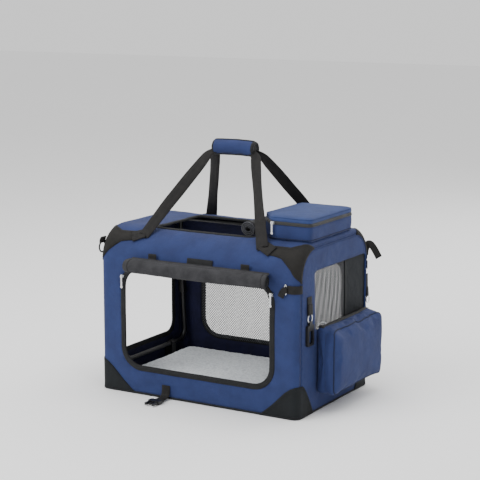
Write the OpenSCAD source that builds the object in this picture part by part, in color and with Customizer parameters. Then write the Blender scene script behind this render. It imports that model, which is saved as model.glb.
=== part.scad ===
// Soft-sided folding pet carrier bag: fabric shell over a folding tube frame.
// Frame: base centre on the ground, +X right end, -Y front door, +Z up. Millimetres.
// The frame folds flat: each end has a lower and an upper hoop joined by mid knuckles.

/* [Body] */
// Length of the bag between the two end panels
body_w = 600; // [450:1:800]
// Depth of the bag from front wall to back wall
body_d = 400; // [300:1:560]
// Height of the roof above the ground
body_h = 444; // [330:1:600]
// Radius of the long rounded roof edges
corner_r = 90; // [60:1:110]
// Thickness of the padded fabric walls
wall_t = 3; // [2:0.5:5]
// Thickness of the fabric bottom
floor_t = 3; // [2:0.5:5]
// Half depth of the roof panel that travels with the top frame
roof_half = 140; // [120:1:150]
// Gap left between the roof panel and the walls
seam_gap = 0.3; // [0.2:0.1:1]

/* [Folding frame] */
// Radius of the steel frame tubes
tube_r = 6; // [5:0.5:8]
// Wall thickness of the frame tubes
tube_wall = 1; // [0.8:0.1:1.5]
// Distance of the hoop pivots from the middle of the bag
pivot_x = 279; // [270:1:282]
// Height of the lower hoop pivot
low_pivot_z = 60; // [54:1:70]
// Height of the upper hoop pivot
high_pivot_z = 424; // [410:1:426]
// Distance the mid knuckles stand outside the pivots, so the frame locks upright
over_centre = 9; // [4:0.5:10]
// Half spacing of the lower hoop legs
low_leg_y = 182; // [176:1:184]
// Half spacing of the upper hoop legs
high_leg_y = 166; // [160:1:168]
// Bend radius of the lower hoops
low_bend_r = 30; // [24:1:40]
// Bend radius of the upper hoops
high_bend_r = 26; // [22:1:30]
// Radius of the hinge pins
pin_r = 3; // [2.5:0.5:4]
// Running clearance of the pins and the hoop bars in their bores
run_fit = 0.05; // [0.02:0.01:0.1]

// Distance of the roof rails from the middle, along the depth
rail_y = 126; // [124:1:128]

/* [Floor] */
// Distance of the base frame tube from the middle, along the length
base_x = 288; // [280:1:290]
// Distance of the base frame tube from the middle, along the depth
base_y = 188; // [180:1:190]
// Thickness of the stiff floor board
board_t = 6; // [3:1:8]
// Half length of the floor board and the mat
mat_x = 266; // [250:1:268]
// Half depth of the floor board and the mat
mat_y = 178; // [165:1:180]
// Height of the top of the fleece mat
mat_top = 45; // [30:1:50]

/* [Doors and windows] */
// Half width of the front door opening outside its binding
door_x = 232; // [200:1:240]
// Height of the sill of the front door outside its binding
door_z0 = 66; // [50:1:90]
// Height of the head of the front door
door_z1 = 350; // [300:1:352]
// Width of the black binding around the openings
bind_w = 12; // [8:1:16]
// Radius of the rolled-up front door
roll_r = 21; // [16:1:24]
// Radius of the rolled-up roof flap
top_roll_r = 23; // [18:1:24]

/* [Handles] */
// Depth position of the strap seams
strap_y = 166.8; // [165:0.1:180]
// Height of the strap seams
strap_z = 428; // [415:0.1:430]
// Half spacing of the strap seams
strap_x = 178; // [170:1:200]
// Width of the carrying straps
strap_w = 30; // [25:1:38]
// Height of the grip of the straps
grip_z = 645; // [600:1:660]
// Offset of each strap grip from the middle
grip_y = 8; // [7:0.5:10]
// Half length of the padded handle wrap
wrap_x = 64; // [55:1:70]
// Radius of the padded handle wrap
wrap_r = 21.5; // [18:0.5:24]

/* [Pockets] */
// Height of the top pocket above the ground
pocket_top = 501; // [480:1:510]
// Left edge of the top pocket
pocket_x0 = 141; // [136:1:160]
// Depth position of the front of the top pocket
pocket_y0 = -132; // [-134:1:-110]
// Depth position of the back of the top pocket
pocket_y1 = 105; // [80:1:120]
// How far the side pocket stands out from the end panel
side_depth = 56; // [40:1:62]
// Depth position of the front of the side pocket
side_y0 = -110; // [-120:1:-100]
// Depth position of the back of the side pocket
side_y1 = 175; // [150:1:185]
// Height of the bottom of the side pocket
side_z0 = 46; // [40:1:60]
// Height of the top of the side pocket
side_z1 = 226; // [200:1:240]

/* [Output] */
// Node drawn: all, or the name of one node

/* [Hidden] */
$fn = 48;
x_in = body_w / 2 - wall_t;
y_in = body_d / 2 - wall_t;
arc_y = body_d / 2 - corner_r;
arc_z = body_h - corner_r;
half_rise = (high_pivot_z - low_pivot_z) / 2;
link_len = sqrt(half_rise * half_rise + over_centre * over_centre);
lean = atan(over_centre / half_rise);
knee_z = low_pivot_z + half_rise;
knee_x = pivot_x + over_centre;
strap_lean = atan((strap_y - grip_y) / (grip_z - strap_z));
strap_len = sqrt((strap_y - grip_y) * (strap_y - grip_y) + (grip_z - strap_z) * (grip_z - strap_z));

// ---------- helpers ----------

// Solid with the rounded roof section of the bag, set in by i, between two ends.
module bag_solid(i, x0, x1, z0) {
  w = x1 - x0;
  translate([x0, i - body_d / 2, z0])
    cube([w, body_d - 2 * i, arc_z - z0]);
  translate([x0, -arc_y, z0])
    cube([w, 2 * arc_y, body_h - i - z0]);
  for (s = [-1, 1])
    translate([x0, s * arc_y, arc_z])
      rotate([0, 90, 0])
        cylinder(r = corner_r - i, h = w);
}

// Layer of the bag between two insets.
module bag_layer(i0, i1, x0, x1, z0) {
  difference() {
    bag_solid(i0, x0, x1, z0);
    bag_solid(i1, x0 - 1, x1 + 1, z0 - 1);
  }
}

// Block with round corners seen along Y.
module block_y(x0, x1, z0, z1, r, y0, y1) {
  d = y1 - y0;
  translate([x0 + r, y0, z0])
    cube([x1 - x0 - 2 * r, d, z1 - z0]);
  translate([x0, y0, z0 + r])
    cube([x1 - x0, d, z1 - z0 - 2 * r]);
  for (x = [x0 + r, x1 - r], z = [z0 + r, z1 - r])
    translate([x, y0, z])
      rotate([-90, 0, 0])
        cylinder(r = r, h = d);
}

// Block with round corners seen along X.
module block_x(y0, y1, z0, z1, r, x0, x1) {
  d = x1 - x0;
  translate([x0, y0 + r, z0])
    cube([d, y1 - y0 - 2 * r, z1 - z0]);
  translate([x0, y0, z0 + r])
    cube([d, y1 - y0, z1 - z0 - 2 * r]);
  for (y = [y0 + r, y1 - r], z = [z0 + r, z1 - r])
    translate([x0, y, z])
      rotate([0, 90, 0])
        cylinder(r = r, h = d);
}

// Block with round corners seen from above.
module block_z(x0, x1, y0, y1, r, z0, z1) {
  d = z1 - z0;
  translate([x0 + r, y0, z0])
    cube([x1 - x0 - 2 * r, y1 - y0, d]);
  translate([x0, y0 + r, z0])
    cube([x1 - x0, y1 - y0 - 2 * r, d]);
  for (x = [x0 + r, x1 - r], y = [y0 + r, y1 - r])
    translate([x, y, z0])
      cylinder(r = r, h = d);
}

// Straight tube along Z.
module tube_z(len) {
  difference() {
    cylinder(r = tube_r, h = len);
    translate([0, 0, -1])
      cylinder(r = tube_r - tube_wall, h = len + 2);
  }
}

// Quarter bend in the XY plane, from the +X side round to the +Y side.
module tube_bend(r) {
  rotate_extrude(angle = 90)
    translate([r, 0])
      difference() {
        circle(r = tube_r);
        circle(r = tube_r - tube_wall);
      }
}

// Hoop in the YZ plane: bar along Y through the origin, legs up +Z.
module hoop(leg_y, bend_r, leg_top) {
  for (s = [-1, 1]) {
    translate([0, s * leg_y, bend_r])
      tube_z(leg_top - bend_r);
    translate([0, s * (leg_y - bend_r), bend_r])
      rotate([0, 90, 0])
        rotate([0, 0, s > 0 ? 0 : -90])
          tube_bend(bend_r);
  }
  translate([0, bend_r - leg_y, 0])
    rotate([-90, 0, 0])
      tube_z(2 * (leg_y - bend_r));
}

// Places children in the leaning lower hoop of the right end.
module at_lower() {
  translate([pivot_x, 0, low_pivot_z])
    rotate([0, lean, 0])
      children();
}

// Places children in the leaning upper hoop of the right end, bar down.
module at_upper() {
  translate([pivot_x, 0, high_pivot_z])
    rotate([0, -lean, 0])
      rotate([180, 0, 0])
        children();
}

module left() {
  mirror([1, 0, 0])
    children();
}

// ---------- base ----------

module bottom_panel() {
  color("#20242c")
    block_z(-body_w / 2, body_w / 2, -body_d / 2, body_d / 2, 14, 0, floor_t);
}

module base_tube_frame() {
  z = floor_t + tube_r;
  r = 40;
  color("#1b1b1d") {
    for (s = [-1, 1]) {
      translate([-(base_x - r), s * base_y, z])
        rotate([0, 90, 0])
          tube_z(2 * (base_x - r));
      translate([s * base_x, -(base_y - r), z])
        rotate([-90, 0, 0])
          tube_z(2 * (base_y - r));
      translate([s * (base_x - r), base_y - r, z])
        rotate([0, 0, s > 0 ? 0 : 90])
          tube_bend(r);
      translate([s * (base_x - r), r - base_y, z])
        rotate([0, 0, s > 0 ? -90 : 180])
          tube_bend(r);
    }
  }
}

// Plastic brackets clipped on the base tube; the lower hoop bars turn in them.
module hoop_bracket(y) {
  difference() {
    union() {
      translate([pivot_x, y - 10, low_pivot_z])
        rotate([-90, 0, 0])
          cylinder(r = 9, h = 20);
      translate([pivot_x - 8, y - 10, floor_t + 3])
        cube([24, 20, low_pivot_z - floor_t - 7]);
    }
    translate([pivot_x, y - 11, low_pivot_z])
      rotate([-90, 0, 0])
        cylinder(r = tube_r + run_fit, h = 22);
    translate([base_x, y - 11, floor_t + tube_r])
      rotate([-90, 0, 0])
        cylinder(r = tube_r, h = 22);
  }
}

module hoop_brackets() {
  color("#262628")
    for (y = [-110, 110]) {
      hoop_bracket(y);
      left()
        hoop_bracket(y);
    }
}

module floor_board() {
  color("#2c2f38")
    block_z(-mat_x, mat_x, -mat_y, mat_y, 20, floor_t, floor_t + board_t);
}

module fleece_mat() {
  color("#c9ced2")
    block_z(-mat_x, mat_x, -mat_y, mat_y, 20, floor_t + board_t, mat_top);
}

// ---------- walls ----------

module wall_side(s, x0, x1) {
  intersection() {
    bag_layer(0, wall_t, x0, x1, floor_t);
    translate([x0 - 1, s > 0 ? roof_half : -body_d / 2 - 1, 0])
      cube([x1 - x0 + 2, body_d / 2 + 1 - roof_half, body_h + 1]);
  }
}

module front_wall() {
  color("#3b4a78")
    difference() {
      wall_side(-1, -x_in, x_in);
      block_y(-door_x, door_x, door_z0, door_z1, 60, -body_d / 2 - 5, -y_in + 5);
    }
}

module back_wall() {
  color("#35426c")
    difference() {
      wall_side(1, -x_in, x_in);
      block_y(-door_x, door_x, door_z0, door_z1, 60, y_in - 5, body_d / 2 + 5);
    }
}

module end_panel(x) {
  bag_solid(0, x, x + wall_t, floor_t);
}

module left_wall() {
  color("#35426c")
    difference() {
      end_panel(-body_w / 2);
      block_x(-142, 160, 76, door_z1, 45, -body_w / 2 - 5, -x_in + 5);
    }
}

module right_wall() {
  color("#2f3d68")
    difference() {
      end_panel(x_in);
      block_x(-114, 180, 214, 368, 30, x_in - 5, body_w / 2 + 5);
    }
}

module front_door_binding() {
  color("#1d1d20")
    difference() {
      block_y(-door_x, door_x, door_z0, door_z1, 60, -body_d / 2 - 2, -y_in + 1);
      block_y(-door_x + bind_w, door_x - bind_w, door_z0 + bind_w, door_z1 - bind_w, 50,
        -body_d / 2 - 5, -y_in + 5);
    }
}

module back_window_binding() {
  color("#1d1d20")
    difference() {
      block_y(-door_x, door_x, door_z0, door_z1, 60, y_in - 1, body_d / 2 + 2);
      block_y(-door_x + bind_w, door_x - bind_w, door_z0 + bind_w, door_z1 - bind_w, 50,
        y_in - 5, body_d / 2 + 5);
    }
}

module left_door_binding() {
  color("#1d1d20")
    difference() {
      block_x(-142, 160, 76, door_z1, 45, -body_w / 2 - 2, -x_in + 1);
      block_x(-142 + bind_w, 160 - bind_w, 76 + bind_w, door_z1 - bind_w, 35,
        -body_w / 2 - 5, -x_in + 5);
    }
}

module back_window_mesh() {
  color("#8d8f92")
    block_y(-door_x + bind_w, door_x - bind_w, door_z0 + bind_w, door_z1 - bind_w, 50,
      y_in + 1, y_in + 2);
}

module right_window_mesh() {
  color("#5b5d60")
    block_x(-114, 180, 214, 368, 30, x_in + 1, x_in + 2);
}

module front_door_roll() {
  color("#3a3a3c")
    translate([-208, -body_d / 2 - roll_r - 2, 350])
      rotate([0, 90, 0])
        cylinder(r = roll_r, h = 420);
}

module left_door_roll() {
  color("#3a3a3c")
    translate([-body_w / 2 - roll_r - 2, -130, 350])
      rotate([-90, 0, 0])
        cylinder(r = roll_r, h = 278);
}

// Webbing loop round a roll whose axis is along X, with its tail sewn to the wall.
module roll_tie(w) {
  difference() {
    union() {
      rotate([0, 90, 0])
        cylinder(r = roll_r + 1.6, h = w);
      translate([0, 17.6, 12.8])
        cube([w, 5.2, 1.4]);
      translate([0, roll_r + 0.4, 12.8])
        cube([w, 1.4, 14.2]);
    }
    translate([-1, roll_r - 0.3, -30])
      cube([w + 2, 10, 42.8]);
    translate([-1, 0, 0])
      rotate([0, 90, 0])
        cylinder(r = roll_r, h = w + 2);
  }
}

module front_roll_ties() {
  color("#1f1f22")
    for (x = [-143, 137])
      translate([x, -body_d / 2 - roll_r - 2, 350])
        roll_tie(25);
}

module left_roll_ties() {
  color("#1f1f22")
    for (y = [-80, 90])
      translate([-body_w / 2 - roll_r - 2, y, 350])
        rotate([0, 0, -90])
          translate([-25, 0, 0])
            roll_tie(25);
}

module front_label() {
  color("#1a1a1b")
    translate([-26, -199.2, 362])
      rotate([-10, 0, 0])
        translate([0, -3.2, 0])
          cube([77, 1, 22]);
}

// Front half of the roof corner patches: corner triangle and the webbing band to the strap seam.
module corner_patch() {
  intersection() {
    bag_layer(-1.2, 0, -body_w / 2, body_w / 2, floor_t);
    translate([0, -roof_half - 0.3, 0])
      rotate([90, 0, 0])
        linear_extrude(80)
          polygon([[300, 346], [276, 380], [259, 394], [243, 405], [200, 410.5], [164, 432],
            [256, 430], [300, 443]]);
  }
}

module top_corner_patches() {
  color("#2c2b2a")
    for (a = [0, 1], b = [0, 1])
      mirror([a, 0, 0])
        mirror([0, b, 0])
          corner_patch();
}

module low_patch() {
  translate([0, -body_d / 2, 0])
    rotate([90, 0, 0])
      linear_extrude(1.2)
        polygon([[301.2, 0], [301.2, 84], [262, 66], [228, 32], [190, 0]]);
  translate([body_w / 2, 0, 0])
    rotate([90, 0, 90])
      linear_extrude(1.2)
        polygon([[-200, 0], [-200, 84], [-176, 80], [-155, 64], [-132, 28], [-117, 0]]);
}

module bottom_corner_patches() {
  color("#202527")
    difference() {
      for (a = [0, 1], b = [0, 1])
        mirror([a, 0, 0])
          mirror([0, b, 0])
            low_patch();
      translate([body_w / 2 - 1, side_y0, side_z0 - 0.5])
        cube([4, side_y1 - side_y0 + 1, 60]);
    }
}

module side_pocket() {
  x0 = body_w / 2;
  x1 = x0 + side_depth;
  color("#34446a")
    difference() {
      block_x(side_y0, side_y1, side_z0, side_z1, 10, x0, x1);
      block_x(side_y0 + 2.5, side_y1 - 2.5, side_z0 + 2.5, side_z1 - 2.5, 8, x0 - 1, x1 - 2.5);
      translate([x0 + 4, side_y0 + 16, side_z1 - 6])
        cube([14, side_y1 - side_y0 - 32, 12]);
    }
}

module side_pocket_zip() {
  x0 = body_w / 2 + 4;
  color("#1a1a1c")
    for (dx = [0, 7.5])
      translate([x0 + dx, side_y0 + 16, side_z1 - 2])
        cube([6.5, side_y1 - side_y0 - 32, 2]);
}

// Webbing under the door sill; it ends in a loop round the bar of the buckle on the ground.
module bottom_strap() {
  color("#1c1c1e")
    translate([-104.5, 0, 0]) {
      rotate([90, 0, 90])
        linear_extrude(25)
          polygon([[-200, 14], [-200, 34], [-202, 34], [-203, 16], [-212, 7], [-222, 4.4],
            [-239, 3.6], [-239, 1.6], [-223, 2.2], [-210, 4.6], [-202, 11]]);
      translate([0, -242, 5.2])
        rotate([0, 90, 0])
          difference() {
            cylinder(r = 4.2, h = 25);
            translate([0, 0, -1])
              cylinder(r = 2.4, h = 27);
          }
    }
}

// Male half of a side-release buckle with its webbing bar.
module bottom_buckle() {
  color("#161618")
    translate([-92, -242, 5.2]) {
      translate([-17.5, 0, 0])
        rotate([0, 90, 0])
          cylinder(r = 2, h = 35);
      for (s = [-1, 1]) {
        translate([s * 15.5 - 2, -6, -3])
          cube([4, 8, 6]);
        translate([s * 11 - 3, -42, -3])
          cube([6, 22, 6]);
      }
      block_z(-17.5, 17.5, -22, -5, 3, -4.5, 4.5);
      translate([-2.5, -38, -2.4])
        cube([5, 17, 4.8]);
    }
}

// ---------- folding hoops ----------

module left_lower_hoop() {
  left()
    right_lower_hoop();
}

module right_lower_hoop() {
  color("#1b1b1d")
    at_lower()
      hoop(low_leg_y, low_bend_r, link_len - 14);
}

// Plastic knuckle over the end of a hoop leg, with the pin bore.
module knuckle(leg_y, bore) {
  for (s = [-1, 1])
    translate([0, s * leg_y, 0])
      difference() {
        union() {
          translate([-7.5, -7.5, link_len - 46])
            cube([15, 15, 46]);
          translate([0, -7.5, link_len])
            rotate([-90, 0, 0])
              cylinder(r = 7.5, h = 15);
        }
        translate([0, 0, link_len - 60])
          cylinder(r = tube_r, h = 46);
        translate([0, -8, link_len])
          rotate([-90, 0, 0])
            cylinder(r = bore, h = 16);
      }
}

module right_knuckles() {
  color("#262628")
    at_lower()
      knuckle(low_leg_y, pin_r);
}

module left_knuckles() {
  left()
    right_knuckles();
}

module right_upper_knuckles() {
  color("#262628")
    at_upper()
      knuckle(high_leg_y, pin_r + run_fit);
}

module left_upper_knuckles() {
  left()
    right_upper_knuckles();
}

module right_upper_hoop() {
  color("#1b1b1d")
    at_upper()
      hoop(high_leg_y, high_bend_r, link_len - 14);
}

module left_upper_hoop() {
  left()
    right_upper_hoop();
}

module right_pins() {
  y0 = high_leg_y - 7.5;
  y1 = low_leg_y + 7.5;
  color("#8c8e92")
    for (s = [0, 1])
      mirror([0, s, 0])
        translate([knee_x, y0 - 2.4, knee_z])
          rotate([-90, 0, 0]) {
            cylinder(r = pin_r, h = y1 - y0 + 4.4);
            cylinder(r = 5, h = 2);
            translate([0, 0, y1 - y0 + 2.4])
              cylinder(r = 5, h = 2);
          }
}

module left_pins() {
  left()
    right_pins();
}

// ---------- top ----------

module top_rails() {
  color("#1b1b1d")
    for (y = [-rail_y, rail_y])
      translate([-268, y, high_pivot_z])
        rotate([0, 90, 0])
          tube_z(536);
}

module top_clip(y) {
  difference() {
    translate([250, y - 11, high_pivot_z - 10])
      cube([40, 22, 21]);
    translate([249, y, high_pivot_z])
      rotate([0, 90, 0])
        cylinder(r = tube_r, h = 19);
    translate([pivot_x, y - 12, high_pivot_z])
      rotate([-90, 0, 0])
        cylinder(r = tube_r + run_fit, h = 24);
  }
}

module top_clips() {
  color("#262628")
    for (y = [-rail_y, rail_y]) {
      top_clip(y);
      left()
        top_clip(y);
    }
}

module roof_panel() {
  x = x_in - seam_gap;
  y = roof_half - seam_gap;
  color("#56709c")
    difference() {
      intersection() {
        bag_layer(0, wall_t, -x, x, floor_t);
        translate([-x, -y, 400])
          cube([2 * x, 2 * y, 60]);
      }
      block_z(-175, 134, -128, 96, 20, 400, 460);
    }
}

module top_door_binding() {
  color("#19191b")
    difference() {
      intersection() {
        bag_layer(-1.5, wall_t, -180, 134, floor_t);
        block_z(-175, 134, -128, 96, 20, 400, 460);
      }
      block_z(-166, 132.5, -119, 87, 12, 390, 470);
    }
}

module top_door_roll() {
  color("#19191b")
    translate([107, -115, 457])
      rotate([-90, 0, 0])
        cylinder(r = top_roll_r, h = 200);
}

module top_roll_ties() {
  color("#1f1f22")
    for (y = [-60, 45])
      translate([107, y, 457])
        difference() {
          rotate([-90, 0, 0])
            cylinder(r = top_roll_r + 1.6, h = 22);
          translate([0, -1, 0])
            rotate([-90, 0, 0])
              cylinder(r = top_roll_r, h = 24);
        }
}

// Plan of the top pocket; the front left corner is cut back behind the strap.
module pocket_plan(i) {
  x0 = pocket_x0 + i;
  x1 = x_in - seam_gap - 0.7 - i;
  y0 = pocket_y0 + i;
  y1 = pocket_y1 - i;
  polygon([[x0 + 45, y0], [x1 - 18, y0], [x1 - 5, y0 + 5], [x1, y0 + 18], [x1, y1 - 18], [x1 - 5, y1 - 5],
    [x1 - 18, y1], [x0 + 18, y1], [x0 + 5, y1 - 5], [x0, y1 - 18], [x0, y0 + 50]]);
}

module top_pocket() {
  color("#3f5082")
    difference() {
      translate([0, 0, body_h])
        linear_extrude(pocket_top - 13 - body_h)
          pocket_plan(0);
      translate([0, 0, body_h - 1])
        linear_extrude(pocket_top)
          pocket_plan(2.5);
      translate([100, -200, body_h - 0.5])
        cube([200, 400, 0.5]);
    }
}

module top_pocket_lid() {
  z = pocket_top - 12.5;
  color("#56709c")
    difference() {
      translate([0, 0, z])
        linear_extrude(12.5)
          pocket_plan(0);
      translate([0, 0, z - 1])
        linear_extrude(11)
          pocket_plan(2.5);
    }
}

// Zip slider: body astride the teeth, with an arch for the pull.
module slider_body() {
  translate([-5, -3.2, -4])
    cube([10, 3, 8]);
  difference() {
    translate([-1.2, -5.6, -3])
      cube([2.4, 2.6, 6]);
    translate([-2, -4.6, -1.8])
      cube([4, 1.5, 3.6]);
  }
}

// Zip pull hanging down from its eye.
module pull_tab(len) {
  difference() {
    union() {
      rotate([90, 0, 0])
        cylinder(r = 4, h = 1.2, center = true);
      translate([-2.2, -0.6, 4 - len])
        cube([4.4, 1.2, len - 4]);
      translate([0, 0, 4 - len])
        rotate([90, 0, 0])
          cylinder(r = 3.4, h = 1.2, center = true);
    }
    rotate([90, 0, 0])
      cylinder(r = 1.8, h = 3, center = true);
  }
}

module top_pocket_slider() {
  color("#c8cacc")
    translate([190, pocket_y0 - 0.3, pocket_top - 16])
      slider_body();
}

module top_pocket_pull() {
  color("#d4d6d8")
    translate([190, pocket_y0 - 7.6, pocket_top - 16])
      pull_tab(30);
}

// ---------- handles ----------

// Strap loop in its own plane: hinge seam at the origin, grip up +Z.
module strap_loop() {
  h = strap_len;
  g = wrap_x + 2;
  e = strap_w / 2 * 1.1;
  translate([0, 1.1, 0])
    rotate([90, 0, 0])
      linear_extrude(2.2) {
        polygon([[strap_x - e, 0], [strap_x + e, 0], [g + 22, h - 30], [g + 10, h + 2], [g - 2, h + 2],
          [g - 2, h - 6], [g, h - 30]]);
        polygon([[-strap_x + e, 0], [-strap_x - e, 0], [-g - 22, h - 30], [-g - 10, h + 2], [-g + 2, h + 2],
          [-g + 2, h - 6], [-g, h - 30]]);
      }
  translate([-g, -6, h - 2])
    cube([2 * g, 12, 4]);
}

module front_strap() {
  color("#262523")
    translate([0, -strap_y, strap_z])
      rotate([-strap_lean, 0, 0])
        strap_loop();
}

module back_strap() {
  color("#1d1c1b")
    translate([0, strap_y, strap_z])
      rotate([strap_lean, 0, 0])
        strap_loop();
}

module handle_wrap() {
  color("#3b4a78")
    difference() {
      translate([-wrap_x, 0, grip_z + 6])
        rotate([0, 90, 0])
          cylinder(r = wrap_r, h = 2 * wrap_x);
      translate([0, -strap_y, strap_z])
        rotate([-strap_lean, 0, 0])
          translate([-wrap_x - 4, -6, strap_len - 2])
            cube([2 * wrap_x + 8, 12, 4]);
      translate([0, strap_y, strap_z])
        rotate([strap_lean, 0, 0])
          translate([-wrap_x - 4, -7, strap_len - 3.2])
            cube([2 * wrap_x + 8, 60, 6.4]);
    }
}

// Sewn feet of the straps on the rounded roof edges.
module strap_anchors() {
  color("#262523")
    for (a = [0, 1], b = [0, 1])
      mirror([a, 0, 0])
        mirror([0, b, 0])
          intersection() {
            bag_layer(-3, -1.4, strap_x - 12, strap_x + 34, floor_t);
            translate([strap_x, -roof_half - 0.3, strap_z])
              rotate([90, 0, 0])
                linear_extrude(80)
                  polygon([[-4, -2], [28, -2], [28, -15], [20, -15]]);
          }
}

// ---------- small hardware ----------

// Flat three-bar adjuster in the XZ plane.
module adjuster() {
  difference() {
    block_y(-14, 14, -7.5, 7.5, 2, 0, 3);
    for (z = [-5.2, 1.2])
      translate([-10.5, -1, z])
        cube([21, 5, 4]);
  }
}

module strap_adjusters() {
  color("#202022")
    for (s = [0, 1])
      mirror([0, s, 0]) {
        translate([266, -body_d / 2 - 3.4, 322])
          cube([33, 1.6, 22]);
        translate([262, -body_d / 2 - 5, 333])
          rotate([0, 90, 0])
            adjuster();
        translate([236, -body_d / 2 - 3.4, 322])
          cube([19, 1.6, 22]);
        translate([255, -body_d / 2 - 3.4, 322])
          cube([11, 0.8, 22]);
      }
}

// Webbing tabs on the end panels: front ring, hook strap and rear ring strap.
module side_straps() {
  x = body_w / 2;
  color("#1f1f22") {
    translate([-x - 1.6, -194, 384])
      cube([1.4, 22, 24]);
    translate([x + 0.3, -158, 262])
      cube([1.6, 25, 46]);
    translate([x + 0.3, 184, 247])
      cube([1.6, 10, 62]);
  }
}

// Ring lying in the YZ plane.
module flat_ring(r, wire) {
  rotate([0, 90, 0])
    rotate_extrude()
      translate([r, 0])
        circle(r = wire);
}

module left_ring() {
  color("#1a1a1c")
    translate([-body_w / 2 - 5, -183, 385])
      flat_ring(14, 2.2);
}

module hook_ring() {
  color("#b9bbbe")
    translate([body_w / 2 + 4.6, -145.5, 253])
      flat_ring(11, 1.6);
}

// Snap hook: a flat body with a window, moulded round the wire of its ring.
module hook_buckle() {
  color("#151517")
    difference() {
      translate([body_w / 2 + 4.6, -145.5, 236]) {
        difference() {
          block_x(-17, 17, -54, 0, 6, -3.5, 3.5);
          translate([-5, -8, -47])
            cube([10, 16, 32]);
        }
        block_x(-7, 7, -4, 10, 3, -3.5, 3.5);
      }
      translate([body_w / 2 + 4.6, -145.5, 253])
        flat_ring(11, 1.6);
    }
}

module rear_ring() {
  color("#b9bbbe")
    translate([body_w / 2 + 4, 189, 238])
      flat_ring(8.5, 1.3);
}

module side_pocket_slider() {
  color("#c8cacc")
    translate([body_w / 2 + 11, side_y0 + 30, side_z1 + 0.3])
      rotate([-90, 0, 90])
        slider_body();
}

module side_pocket_pull() {
  color("#d4d6d8")
    translate([body_w / 2 + 11, side_y0 + 22, side_z1 + 7.6])
      rotate([-90, 0, 0])
        pull_tab(30);
}

module left_door_slider() {
  color("#c8cacc")
    translate([-226, -body_d / 2 - 2.2, 316]) {
      slider_body();
      translate([0, -7.4, 0])
        pull_tab(32);
    }
}

module right_door_slider() {
  color("#c8cacc")
    translate([226, -body_d / 2 - 2.2, 316]) {
      slider_body();
      translate([0, -7.4, 0])
        pull_tab(32);
    }
}

// ---------- drawing ----------

bottom_panel();
base_tube_frame();
hoop_brackets();
floor_board();
fleece_mat();
front_wall();
back_wall();
left_wall();
right_wall();
front_door_binding();
left_door_binding();
back_window_binding();
back_window_mesh();
right_window_mesh();
front_door_roll();
left_door_roll();
front_roll_ties();
left_roll_ties();
front_label();
top_corner_patches();
bottom_corner_patches();
side_pocket();
side_pocket_zip();
bottom_strap();
bottom_buckle();
left_lower_hoop();
left_knuckles();
left_upper_hoop();
left_pins();
right_lower_hoop();
right_knuckles();
right_upper_hoop();
right_pins();
top_rails();
top_clips();
roof_panel();
top_door_binding();
top_door_roll();
top_roll_ties();
top_pocket();
top_pocket_lid();
top_pocket_slider();
top_pocket_pull();
front_strap();
back_strap();
handle_wrap();
strap_anchors();
strap_adjusters();
side_straps();
left_ring();
hook_ring();
hook_buckle();
rear_ring();
side_pocket_slider();
side_pocket_pull();
left_door_slider();
right_door_slider();
left_upper_knuckles();
right_upper_knuckles();
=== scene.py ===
"""Visual model of a soft-sided folding pet carrier bag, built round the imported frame.

Every length in this file is in metres unless its name ends in _mm.
"""

import logging
import math
from dataclasses import dataclass
from enum import Enum
from typing import Callable, Sequence

import bmesh
import bpy
import numpy as np
from mathutils import Matrix, Vector, geometry, noise


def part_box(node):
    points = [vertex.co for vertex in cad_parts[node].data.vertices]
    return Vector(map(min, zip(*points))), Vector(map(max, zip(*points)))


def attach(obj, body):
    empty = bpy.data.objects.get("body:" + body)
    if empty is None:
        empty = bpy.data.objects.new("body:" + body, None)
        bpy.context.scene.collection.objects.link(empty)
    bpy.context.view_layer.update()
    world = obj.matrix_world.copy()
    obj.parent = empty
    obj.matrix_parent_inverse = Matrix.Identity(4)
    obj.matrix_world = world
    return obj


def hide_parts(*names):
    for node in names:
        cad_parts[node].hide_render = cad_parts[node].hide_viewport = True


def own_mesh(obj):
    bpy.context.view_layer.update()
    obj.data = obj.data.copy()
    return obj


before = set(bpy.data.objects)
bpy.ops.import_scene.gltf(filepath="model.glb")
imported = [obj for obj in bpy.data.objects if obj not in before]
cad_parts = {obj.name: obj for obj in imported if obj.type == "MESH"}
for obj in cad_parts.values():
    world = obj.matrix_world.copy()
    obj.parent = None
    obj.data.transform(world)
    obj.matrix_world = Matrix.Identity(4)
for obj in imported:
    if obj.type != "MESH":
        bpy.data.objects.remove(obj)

LOG = logging.getLogger("carrier")
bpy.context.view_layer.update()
MM = 0.001

Point2 = tuple[float, float]
Place = Callable[[float, float], Vector]


# ---------------------------------------------------------------- finishes


def linear(code: str) -> tuple[float, float, float, float]:
    """Turns an sRGB hex colour into linear RGBA.

    Args:
        code: colour such as "#3f5079".

    Returns:
        Linear red, green, blue and an alpha of 1.
    """
    parts = [int(code[i:i + 2], 16) / 255 for i in (1, 3, 5)]
    rgb = [c / 12.92 if c <= 0.04045 else ((c + 0.055) / 1.055) ** 2.4 for c in parts]
    return (*rgb, 1.0)


def add_node(tree: bpy.types.NodeTree, kind: str, settings: dict | None = None,
             **inputs: object) -> bpy.types.Node:
    """Adds one shader node with its settings and its links.

    Args:
        tree: node tree of the material.
        kind: Blender's node type name.
        settings: attributes of the node, and values of sockets given by name or number.
        inputs: sockets to link, as names with underscores for spaces, each given an output socket.

    Returns:
        The new node.
    """
    made = tree.nodes.new(kind)
    for key, value in (settings or {}).items():
        if isinstance(key, int) or key in made.inputs:
            made.inputs[key].default_value = value
        else:
            setattr(made, key, value)
    for key, socket in inputs.items():
        name = int(key[1:]) if key[1:].isdigit() else key.replace("_", " ")
        tree.links.new(socket, made.inputs[name])
    return made


class Coords(Enum):
    """What a pattern follows: the cloth's own flat layout, or the part's axes."""

    CLOTH = "UV"
    PART = "Object"


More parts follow.
